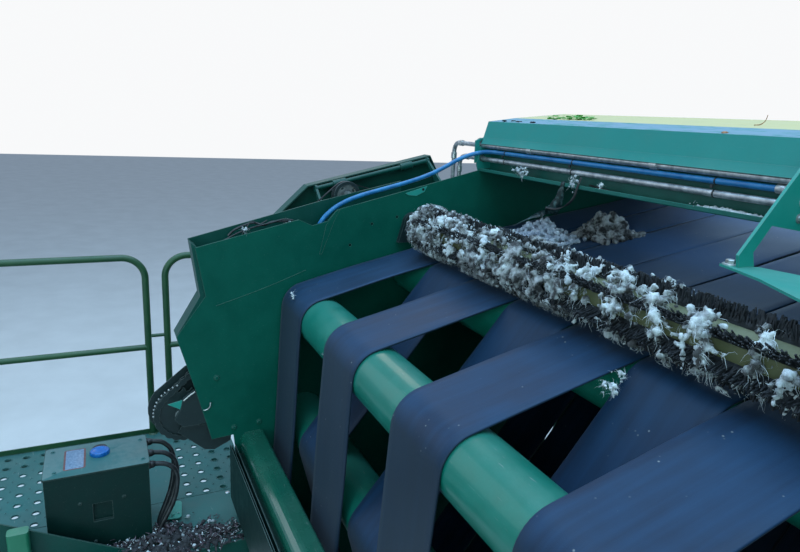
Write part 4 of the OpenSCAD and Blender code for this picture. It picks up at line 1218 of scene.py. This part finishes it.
# columns: distance from the pin, height over the barrel's axis, shift along X
OIL_LINE = [(0.735, 0.060), (0.733, 0.071), (0.715, 0.076), (0.60, 0.076), (0.30, 0.076),
            (0.17, 0.076, 0.02), (0.13, 0.076, 0.02)]
axis = Vector((0, along.x, along.y))
over = Vector((0, upward.x, upward.y))
for side, body in ((-1, "left_barrel"), (1, "right_barrel")):
    build, lines = Builder(), Builder()
    for run, width in ((0.034, 0.030), (0.752, 0.046)):
        band = [(0.0495, 0), (0.055, 0.001), (0.055, width - 0.001), (0.0495, width)]
        ring(build, on_barrel(side, run, 0), axis, band, 40)
    for run in (0.105, 0.735):
        turned(build, on_barrel(side, run, 0.047), over, [(0.014, 0), (0.014, 0.014), (0.011, 0.016)], 6)
    wire(lines, [on_barrel(side, *spot) for spot in OIL_LINE], 0.007, 5)
    for run in (0.25, 0.60):
        plate(build, on_barrel(side, run, 0.049), axis, (side, 0, 0), 0.030, 0.030, 0.028, 0.004)
    build.piece(f"{body}_fittings", dark_steel, body)
    lines.piece(f"{body}_line", cast_grey, body)


# %% [markdown]
# ## Details of the photographed corner
#
# These small things sit where the photograph shows them: the control box with its plate, screws and
# glands, the punched deck with its raised rims, ties and fittings on the hose, seams in the wall's
# sheet, a few wires in the gap behind it, and a torn strip of wrap on the channel's lip.


# %% Control box: plate, screws, glands, and a recess whose shade is painted as a black disc
BOX_TOP = BOX_HIGH[2]
PLATE_CENTRE = (-1.320, -1.905)
LID_CENTRE = ((BOX_LOW[0] + BOX_HIGH[0]) / 2, (BOX_LOW[1] + BOX_HIGH[1]) / 2)
LID_MARGIN = 0.004
# The lid skin carries the box top's painted sky light.
one("box_lid_skin", sky_lit_box_green, plate, (*LID_CENTRE, BOX_TOP - 0.0002), RIGHT, REAR,
    BOX_HIGH[0] - BOX_LOW[0] - LID_MARGIN, BOX_HIGH[1] - BOX_LOW[1] - LID_MARGIN, 0.0007, 0.010)
one("box_plate_border", plate_red, plate, (*PLATE_CENTRE, BOX_TOP), RIGHT, REAR, 0.156, 0.078, 0.0014)
one("box_plate_blank", plate_pale, plate, (*PLATE_CENTRE, BOX_TOP + 0.0008), RIGHT, REAR, 0.146, 0.064,
    0.0010, 0.005)
build = Builder()
for x, y in ((-1.235, -1.973), (-1.231, -1.659), (-1.392, -1.661), (-1.401, -1.985)):
    bolt(build, (x, y, BOX_TOP), UP, 0.0060)
build.piece("box_lid_screws", sky_lit_box_green)
build = Builder()
for y, z in ((-1.893, 1.622), (-1.737, 1.619), (-1.849, 1.443)):
    bolt(build, (-1.200, y, z), RIGHT, 0.0050)
build.piece("box_screws", shaded_box_green)
build = Builder()
for x, z, _ in CABLES:
    turned(build, (x, BOX_FACE_Y, z), REAR, [(0.018, -0.001), (0.018, 0.008), (0.0165, 0.009)], 6)
    turned(build, (x, BOX_FACE_Y, z), REAR,
           [(0.0145, 0.008), (0.0150, 0.010), (0.0150, 0.018), (0.0125, 0.024), (0.0108, 0.028)], 20)
CAP, CAP_R, CAP_RIBS = (-1.335, -1.815), 0.0350, 18
CAP_PROFILE = [(CAP_R, 0), (0.0355, 0.002), (0.0355, 0.010), (0.0335, 0.015), (0.026, 0.0175),
               (0.024, 0.0165), (0.010, 0.0160)]
# A black disc on the lid is the painted shade inside the recess beside the cap.
turned(build, (CAP[0] - 0.048, CAP[1], BOX_TOP - 0.0005), UP,
       [(0.027, 0), (0.027, 0.0016), (0.022, 0.0020)], 24)
build.piece("box_glands_and_hole_shade", cable_black)
build = Builder()
turned(build, (*CAP, BOX_TOP), UP, CAP_PROFILE, 32)
for dx, dy in round_circle(CAP_RIBS, CAP_R):
    turned(build, (CAP[0] + dx, CAP[1] + dy, BOX_TOP + 0.001), UP,
           [(0.0024, 0), (0.0026, 0.002), (0.0026, 0.010), (0.0014, 0.012)], 6)
cap = build.piece("low_cap", cap_blue)
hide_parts("box_cap")


# %% Punched deck and what lies on it
GRIP_FIRST, GRIP_PITCH = (-1.460, -1.233), (0.084, 0.0773)
GRIP_COLUMNS, GRIP_ROWS = 8, [*range(4), *range(6, 16)]
GRIP_RIM = [(0.0142, -0.004), (0.0150, 0.0030), (0.0166, 0.0036), (0.0205, -0.0004)]
SMALL_RIM = [(0.0025, -0.0004), (0.0028, 0.0022), (0.0040, 0.0022), (0.0060, -0.0004)]


def grip_place(i, k):
    return (GRIP_FIRST[0] - i * GRIP_PITCH[0], GRIP_FIRST[1] - k * GRIP_PITCH[1], DECK_TOP)


build = Builder()
for i in range(GRIP_COLUMNS):
    for k in GRIP_ROWS:
        ring(build, grip_place(i, k), UP, GRIP_RIM, 20)
        if k + 1 in GRIP_ROWS and i < GRIP_COLUMNS - 1:
            ring(build, grip_place(i + 0.5, k + 0.5), UP, SMALL_RIM, 10)
build.piece("deck_rims", deck_teal)
build = Builder()
CLIP = [Vector((x, y, 0)) for x, y in ((-1.438, -1.579), (-1.406, -1.497), (-1.274, -1.513),
                                       (-1.305, -1.591))]
clip_across = (CLIP[2] - CLIP[1]).normalized()
clip_along = Vector((-clip_across.y, clip_across.x, 0))
clip_centre = sum(CLIP, Vector()) / 4 + Vector((0.018, 0, DECK_TOP + 0.014))
plate(build, clip_centre, clip_across, clip_along, 0.125, 0.070, 0.0040, 0.018, 6)
for shift in (-0.040, 0.040):
    spot = clip_centre + clip_across * shift
    turned(build, spot - Vector((0, 0, 0.0145)), UP, [(0.009, 0), (0.009, 0.0150)], 12)
    bolt(build, spot + Vector((0, 0, 0.0035)), UP, 0.006)
build.piece("deck_clip_plate", bracket_teal)
TOE_X = (-2.106, -2.101)
TOE_OUTLINE = [(-2.470, 1.402), (-1.216, 1.402), (-1.216, 1.424), (-1.220, 1.428), (-2.466, 1.428),
               (-2.470, 1.424)]
one("deck_toe_bar", rail_green, swept, TOE_OUTLINE, *TOE_X)
build = Builder()
plate(build, (-1.105, -2.0925, DECK_TOP), RIGHT, REAR, 0.080, 0.085, 0.008, 0.010)
plate(build, (-1.110, -2.0925, DECK_TOP + 0.004), RIGHT, REAR, 0.046, 0.070, 0.214, 0.012, 6)
for y in (-2.124, -2.061):
    bolt(build, (-1.076, y, DECK_TOP + 0.008), UP, 0.006)
build.piece("side_plate_post", post_green)
RAIL_X, RAIL_R = -2.100, 0.017
FOOT_WELD = [(RAIL_R - 0.0005, 0), (RAIL_R + 0.007, 0), (RAIL_R + 0.004, 0.004), (RAIL_R - 0.0005, 0.008)]
build = Builder()
for y in (-2.478, -1.570, -1.475, -1.207):
    ring(build, (RAIL_X, y, DECK_TOP), UP, FOOT_WELD, 24)
build.piece("rail_foot_welds", rail_green)


# %% The channel under the hood and its two thin pipes
PIPE_R, PIPE_BEND, PIPE_END_Z, PIPE_FAR, BEND_STEPS = 0.0105, 0.042, 2.500, 1.262, 12
# columns: y and height of the pipe in the channel, distance of its drop from the middle
PIPES = [(-0.163, 3.030, 1.495), (-0.160, 2.970, 1.440)]
build, joints = Builder(), Builder()
SLEEVE = [(PIPE_R, 0.0), (PIPE_R + 0.0034, 0.001), (PIPE_R + 0.0034, 0.029), (PIPE_R, 0.030)]
for y, z, drop in PIPES:
    corner = Vector((-drop + PIPE_BEND, y, z - PIPE_BEND))
    turns = [math.tau / 4 * k / BEND_STEPS for k in range(BEND_STEPS + 1)]
    arc = [corner + Vector((-math.sin(a), 0, math.cos(a))) * PIPE_BEND for a in turns]
    tube(build, [Vector((PIPE_FAR, y, z))] + arc + [Vector((-drop, y, PIPE_END_Z))], PIPE_R, 20)
    ring(joints, (-drop + PIPE_BEND + 0.006, y, z), RIGHT, SLEEVE, 24)
    ring(joints, (-drop, y, z - PIPE_BEND - 0.036), UP, SLEEVE, 24)
    ring(joints, (-drop, y, PIPE_END_Z), UP, SLEEVE, 24)
    turned(joints, (-drop, y, PIPE_END_Z - 0.001), UP, [(0.020, 0), (0.020, 0.009), (0.018, 0.010)], 6)
    for x, way in ((1.246, 1), (-PIPE_FAR, -1)):
        turned(joints, (x, y, z + 0.004), (way, 0, 0), [(0.029, 0), (0.029, 0.003), (0.026, 0.004)], 28)
        turned(joints, (x, y, z), (way, 0, 0), [(0.019, 0.004), (0.019, 0.012), (0.017, 0.013)], 6)
for x in (-0.905, -0.262, 0.700):
    ring(joints, (x, PIPES[0][0], PIPES[0][1]), RIGHT, SLEEVE, 24)
pipes = build.piece("thin_pipes", zinc, sharp=ROUND_SHARP)
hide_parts("galvanized_pipes")
joints.piece("pipe_sleeves", bolt_zinc)
CHANNEL_HALF = 1.241
CHANNEL_OUTLINE = [
    (-0.112, 3.069), (-0.154, 3.069), (-0.154, 3.064), (-0.117, 3.064), (-0.117, CHANNEL_FLOOR),
    (-0.1725, CHANNEL_FLOOR), (-0.1735, 2.920), (-0.1735, 2.9285), (-0.1785, 2.9285), (-0.1785, 2.917),
    (-0.1755, 2.914), (-0.112, 2.914)]
channel = one("deep_channel", channel_green, swept, CHANNEL_OUTLINE, -CHANNEL_HALF, CHANNEL_HALF)
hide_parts("hood_channel")
LIP_OUTLINE = [(-0.1625, 3.066), (-0.1655, 3.066), (-0.1680, 3.058), (-0.1775, 3.0375), (-0.1745, 3.0365),
               (-0.1650, 3.056)]
one("hood_lip", hood_teal, swept, LIP_OUTLINE, -1.238, 1.238)
CHANNEL_WIRE = [(-0.560, -0.130, 2.930), (-0.420, -0.150, 2.9235), (-0.250, -0.158, 2.9235),
                (-0.060, -0.150, 2.9235), (0.060, -0.156, 2.9235), (0.150, -0.135, 2.927),
                (0.190, -0.124, 2.945)]
one("channel_wire", cable_black, wire, CHANNEL_WIRE, 0.0030, 8)


# %% Ties and fittings on the hose
TIE_BAND = [(0.0001, 0), (0.0016, 0.0006), (0.0016, 0.0044), (0.0001, 0.005)]
build = Builder()
for x in (-0.627, -0.021, -1.060):
    for y, z, radius in ((HOSE_Y, HOSE_Z, HOSE_R), (PIPES[1][0], PIPES[1][1], PIPE_R)):
        band = [(radius + rise, run) for rise, run in TIE_BAND]
        ring(build, (x - 0.0025, y, z), RIGHT, band, 20)
    block(build, (x - 0.004, -0.180, 2.986), (x + 0.004, -0.174, 2.996))
build.piece("hose_ties", cable_black)
build = Builder()
for x, profile, sides in (
        (0.160, [(0.0115, 0), (0.0125, 0.002), (0.0125, 0.022), (0.0115, 0.024)], 20),
        (0.184, [(0.0140, 0), (0.0140, 0.014), (0.0125, 0.016)], 6),
        (0.200, [(0.0095, 0), (0.0095, 0.030), (0.0080, 0.032)], 16)):
    turned(build, (x, HOSE_Y, HOSE_Z), RIGHT, profile, sides)
build.piece("hose_fitting", bolt_zinc)


# %% Bracket and guide fasteners
build = Builder()
for place, way, size in (((0.258, -0.205, 2.985), RIGHT, 0.008), ((0.258, -0.205, 2.945), RIGHT, 0.008),
                         ((0.226, -0.383, 2.831), UP, 0.012)):
    bolt(build, place, way, size)
build.piece("bracket_bolts", bolt_zinc)


# %% Seams in the left wall and wires in the gap behind it
INNER_X = -WALL_IN
SEAM = [(-1.361, 2.368), (-1.169, 2.428), (-0.992, 2.494)]
build = Builder()
wire(build, [(INNER_X + 0.0001, y, z) for y, z in SEAM], 0.0012, 10)
FOLD = [(-0.867, 2.741), (-0.909, 2.682), (-0.935, 2.560), (-0.925, 2.558), (-0.873, 2.698),
        (-0.848, 2.747)]
swept(build, FOLD, INNER_X - 0.0005, INNER_X + 0.0012)
build.piece("wall_seams", wall_green, sharp=ROUND_SHARP)
TAB = [(-0.548, 2.814), (-0.533, 2.806), (-0.494, 2.803), (-0.455, 2.821), (-0.442, 2.846)]
one("wall_tab", bracket_teal, swept, TAB, INNER_X - 0.0005, INNER_X + 0.0025)
# A black disc painted as the shade inside the tab's hole.
one("wall_tab_hole", hole_shade_black, turned, (INNER_X + 0.002, -0.462, 2.831), RIGHT,
    [(0.006, 0), (0.006, 0.0012)], 12)
WIRES = [[(-1.301, 2.641), (-1.270, 2.668), (-1.206, 2.691), (-1.158, 2.681), (-1.125, 2.693),
          (-1.058, 2.695)],
         [(-1.320, 2.625), (-1.262, 2.655), (-1.200, 2.676), (-1.140, 2.690), (-1.083, 2.704),
          (-1.040, 2.700)],
         [(-1.250, 2.650), (-1.215, 2.700), (-1.182, 2.690), (-1.150, 2.705)]]
build = Builder()
for i, line in enumerate(WIRES):
    wire(build, [(-1.280 + 0.012 * i, y, z) for y, z in line], 0.0045 - 0.001 * i)
build.piece("gap_wires", cable_black)


# %% [markdown]
# The apron below the front channel is folded: the photograph shows it standing back from the
# channel's edge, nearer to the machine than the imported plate.


# %% The folded apron under the front channel
APRON_OUTLINE = [(-1.317, 1.748), (-1.314, 1.748), (-1.314, 1.698), (-1.275, 1.698), (-1.275, 1.6945),
                 (-1.3125, 1.6945), (-1.3125, 1.496), (-1.2725, 1.352), (-1.2725, 1.205), (-1.277, 1.205),
                 (-1.277, 1.350), (-1.317, 1.494)]
APRON_HALF = 1.230
build = Builder()
swept(build, APRON_OUTLINE, -APRON_HALF, APRON_HALF)
for y in (-1.309, -1.296):
    swept(build, [(y, 1.696), (y + 0.003, 1.696), (y + 0.003, 1.745), (y, 1.745)], -APRON_HALF, APRON_HALF)
# The apron wears the shaded box green: a painted shade.
apron = build.piece("bent_apron", shaded_box_green)
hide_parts("front_apron")


# %% Low chain wheel: hub nut, chain ends, guard plate and pale marks
WHEEL = Vector((-1.502, 1.892))
build = Builder()
bolt(build, (-1.305, WHEEL.x + 0.010, WHEEL.y + 0.006), (-1, 0, 0), 0.020)
turned(build, (-1.265, *WHEEL), RIGHT, [(0.012, -0.004), (0.012, 0.010), (0.010, 0.012)], 6)
ring(build, (-1.262, WHEEL.x, WHEEL.y + 0.010), RIGHT, [(0.019, 0), (0.027, 0), (0.026, 0.006),
                                                        (0.020, 0.007)], 24)
build.piece("wheel_nuts", cast_grey)
build = Builder()
PINS, PIN_FIRST, PIN_STEP, PIN_REACH, PIN_INWARD = 11, 96, 7.4, 0.142, 0.0030
for k in range(PINS):
    a = math.radians(PIN_FIRST + PIN_STEP * k)
    reach = PIN_REACH - PIN_INWARD * k
    turned(build, (-1.2500, WHEEL.x + reach * math.cos(a), WHEEL.y + 0.008 + reach * math.sin(a)), RIGHT,
           [(0.0036, 0), (0.0036, 0.0030), (0.0025, 0.0040)], 8)
build.piece("chain_pins", bolt_zinc)
GUARD_OUTLINE = [(-1.520, 1.826), (-1.416, 1.728), (-1.375, 1.720), (-1.308, 1.752), (-1.300, 1.815),
                 (-1.410, 1.845), (-1.505, 1.852)]
one("low_guard_plate", dark_steel, swept, GUARD_OUTLINE, -1.266, -1.262)
build = Builder()
for x, line in ((-1.2265, [(-1.497, 1.981), (-1.475, 1.999), (-1.452, 2.014)]),
                (-1.2255, [(-1.421, 1.926), (-1.404, 1.930), (-1.395, 1.942), (-1.393, 1.958)])):
    wire(build, [(x, y, z) for y, z in line], 0.0030)
build.piece("wheel_clips", bolt_zinc)
TRIANGLE = [(-1.556, 1.964), (-1.500, 1.9755), (-1.508, 1.935)]
one("wheel_tab", bracket_teal, swept, TRIANGLE, -1.2500, -1.2465)


# %% Small belt pulley beside the wall
PULLEY = (-0.772, 2.789)
PULLEY_X, SHEET_FACE_X = -1.392, -SHEET_X
RIM = [(0.047, 0), (0.061, 0), (0.062, 0.005), (0.054, 0.015), (0.054, 0.023), (0.062, 0.034),
       (0.061, 0.040), (0.047, 0.040)]
WEB = [(0.0475, 0.010), (0.0475, 0.028), (0.024, 0.030), (0.020, 0.036), (0.020, 0.043), (0.012, 0.044),
       (0.012, SHEET_FACE_X - PULLEY_X + 0.002)]
build = Builder()
ring(build, (PULLEY_X, *PULLEY), RIGHT, RIM, 48)
for dy, dz in round_circle(4, 0.034, 0.4):
    turned(build, (PULLEY_X + 0.0275, PULLEY[0] + dy, PULLEY[1] + dz), RIGHT,
           [(0.0075, 0), (0.0075, 0.0015), (0.004, 0.0018)], 12)
pulley = build.piece("small_pulley", dark_steel)
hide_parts("drive_pulley")
one("pulley_web", cast_grey, turned, (PULLEY_X, *PULLEY), RIGHT, WEB, 32)
LOOP = [(-0.935, 2.730), (-0.870, 2.788), (-0.818, 2.832), (-0.795, 2.845), (-0.772, 2.8475),
        (-0.745, 2.841), (-0.700, 2.827), (-0.640, 2.812)]
line = smooth_path([(PULLEY_X + 0.019, y, z) for y, z in LOOP], 5)
one("pulley_belt", cable_black, ribbon, line, [0.0055] * len(line), RIGHT, 0.0020, sharp=ROUND_SHARP)


# %% A torn strip of wrap on the lip
# columns: place and half width of the strip there
STRIP = [((-0.648, -0.170, 2.934), 0.007), ((-0.648, -0.181, 2.930), 0.007),
         ((-0.648, -0.184, 2.910), 0.008), ((-0.661, -0.182, 2.862), 0.017),
         ((-0.693, -0.186, 2.811), 0.027), ((-0.739, -0.200, 2.796), 0.020),
         ((-0.764, -0.250, 2.769), 0.009), ((-0.730, -0.330, 2.754), 0.003)]
STEPS, LAST = 8, len(STRIP) - 1
line = smooth_path([place for place, _ in STRIP], STEPS)
widths = [STRIP[min(i // STEPS, LAST)][1] * (1 - i % STEPS / STEPS)
          + STRIP[min(i // STEPS + 1, LAST)][1] * (i % STEPS / STEPS) for i in range(len(line))]
widths = [w * (1 + 0.35 * noise.noise(Vector((i * 0.7, 3.1, 0)))) for i, w in enumerate(widths)]
one("torn_strip", shred_film, ribbon, line, widths, (0.75, 0.55, 0.35), sharp=NEVER_SHARP)
STRAP = [(-0.560, -0.176, 2.958), (-0.566, -0.184, 2.918), (-0.575, -0.188, 2.880), (-0.610, -0.192, 2.846),
         (-0.660, -0.196, 2.828), (-0.705, -0.204, 2.826)]
line = smooth_path(STRAP, STEPS)
one("black_strap", cable_black, ribbon, line, [0.0045] * len(line), (0.8, 0.3, 0.5), 0.0009,
    sharp=NEVER_SHARP)


# %% Debris on the hood
build = Builder()
rng = random.Random(71)
CRUMBS = [(-1.137, -0.128, 3.159), (-1.055, -0.118, 3.1585), (-0.946, -0.118, 3.1585),
          (-1.120, -0.100, 3.160)]
for place in CRUMBS:
    for _ in range(3):
        spot = Vector(place) + Vector((rng.uniform(-0.012, 0.012), rng.uniform(-0.008, 0.008), -0.0175))
        turned(build, spot, (rng.uniform(-0.3, 0.3), rng.uniform(-0.3, 0.3), 1),
               [(rng.uniform(0.004, 0.008), 0.0), (rng.uniform(0.004, 0.008), 0.003), (0.002, 0.005)], 7)
build.piece("hood_crumbs", lint_dark)
TWIG = [(-0.110, 0.080, 3.168), (-0.098, 0.092, 3.171), (-0.090, 0.100, 3.182), (-0.087, 0.103, 3.200)]
build = Builder()
wire(build, TWIG, 0.0018, sides=6, taper=0.5)
turned(build, (-0.049, -0.125, 3.138), (0.1, -0.1, 1), [(0.009, 0), (0.010, 0.003), (0.005, 0.006)], 9)
build.piece("hood_twig", twig_brown)
build = Builder()
HOOD_EDGE_Z, HOOD_RISE, HOOD_RUN = 3.158, 32, 280
LEAVES, LEAF_X, LEAF_REACH, LEAF_Y, LEAF_SPREAD = 60, -1.05, 0.27, 0.05, 0.020
LEAF_GAP, LEAF_PILE = 0.0012, 0.012
for _ in range(LEAVES):
    x = LEAF_X + LEAF_REACH * rng.random()
    y = LEAF_Y + rng.gauss(0, LEAF_SPREAD)
    z = HOOD_EDGE_Z + y * HOOD_RISE / HOOD_RUN + LEAF_GAP + LEAF_PILE * rng.random() ** 2
    turn, tilt = rng.uniform(0, math.tau), rng.uniform(0, 0.7)
    across = Vector((math.cos(turn), math.sin(turn), 0.0))
    along_leaf = Vector((-math.sin(turn) * math.cos(tilt), math.cos(turn) * math.cos(tilt), math.sin(tilt)))
    size = (rng.uniform(0.014, 0.034), rng.uniform(0.007, 0.014))
    plate(build, (x, y, z), across, along_leaf, *size, 0.0012, 0.0030, 2)
build.piece("hood_leaves", leaf_green)


# %% [markdown]
# ## Floor and light
#
# A pale floor and soft lamps take the place of the open yard. The low sun of the photograph comes
# from behind the left wall, so one wide, soft sun lamp stands there. A weak lamp under the hood
# stands for the daylight that the yard throws in below its edge.


# %% Floor and light
FLOOR_HALF = 40.0
mesh = bpy.data.meshes.new("floor")
corners = [(x * FLOOR_HALF, y * FLOOR_HALF, 0) for x, y in ((-1, -1), (1, -1), (1, 1), (-1, 1))]
mesh.from_pydata(corners, [], [(0, 1, 2, 3)])
mesh.materials.append(simple("floor_pale", (0.60, 0.60, 0.58), (0.66, 0.66, 0.64), 0.9, 0.0, 2.0,
                             bump=0.05))
floor = new_object("floor", mesh)
world = bpy.data.worlds.new("soft_sky")
bpy.context.scene.world = world
world.use_nodes = True
sky = world.node_tree
sky_light = sky.nodes["Background"]
sky_light.inputs["Color"].default_value = (0.52, 0.70, 0.95, 1)
sky_light.inputs["Strength"].default_value = 0.55
backdrop = add_node(sky, "Background", {"Color": (0.94, 0.95, 0.96, 1), "Strength": 1.0})
choose = add_node(sky, "MixShader", {0: add_node(sky, "LightPath").outputs["Is Camera Ray"],
                                     1: sky_light.outputs[0], 2: backdrop.outputs[0]})
sky.links.new(choose.outputs[0], sky.nodes["World Output"].inputs["Surface"])


def add_lamp(name, kind, place, direction, power, colour):
    """A lamp at place whose light travels along direction."""
    data = bpy.data.lights.new(name, kind)
    data.energy = power
    data.color = colour
    lamp = new_object(name, data)
    lamp.location = place
    lamp.rotation_euler = direction.to_track_quat("-Z", "Y").to_euler()
    return data


def area_light(name, place, target, size, power, colour):
    data = add_lamp(name, "AREA", place, Vector(target) - Vector(place), power, colour)
    data.shape = "DISK"
    data.size = size


area_light("overhead", (0.0, -1.0, 10.5), (0, 0, 2.0), 12.0, 1210, (0.43, 0.71, 1.0))
area_light("right_fill", (7.0, -2.5, 5.5), (-1.2, -0.8, 2.2), 5.0, 160, (0.55, 0.92, 0.92))
area_light("front_fill", (4.0, -7.0, 3.7), (-1.24, 0.3, 2.75), 2.5, 130, (0.60, 0.90, 0.92))
area_light("left_fill", (-6.0, -6.0, 6.0), (0, -0.5, 1.5), 6.0, 90, (0.85, 0.93, 1.0))
area_light("under_hood", (-0.30, 0.60, 2.96), (-0.30, 0.55, 2.4), 1.0, 5, (0.50, 0.75, 1.0))
low_sun = add_lamp("low_sun", "SUN", (0, 0, 0), Vector((1.0, -0.25, -0.62)), 0.15, (1.0, 0.94, 0.84))
low_sun.angle = math.radians(16.0)
print("lamps:", len(bpy.data.lights))
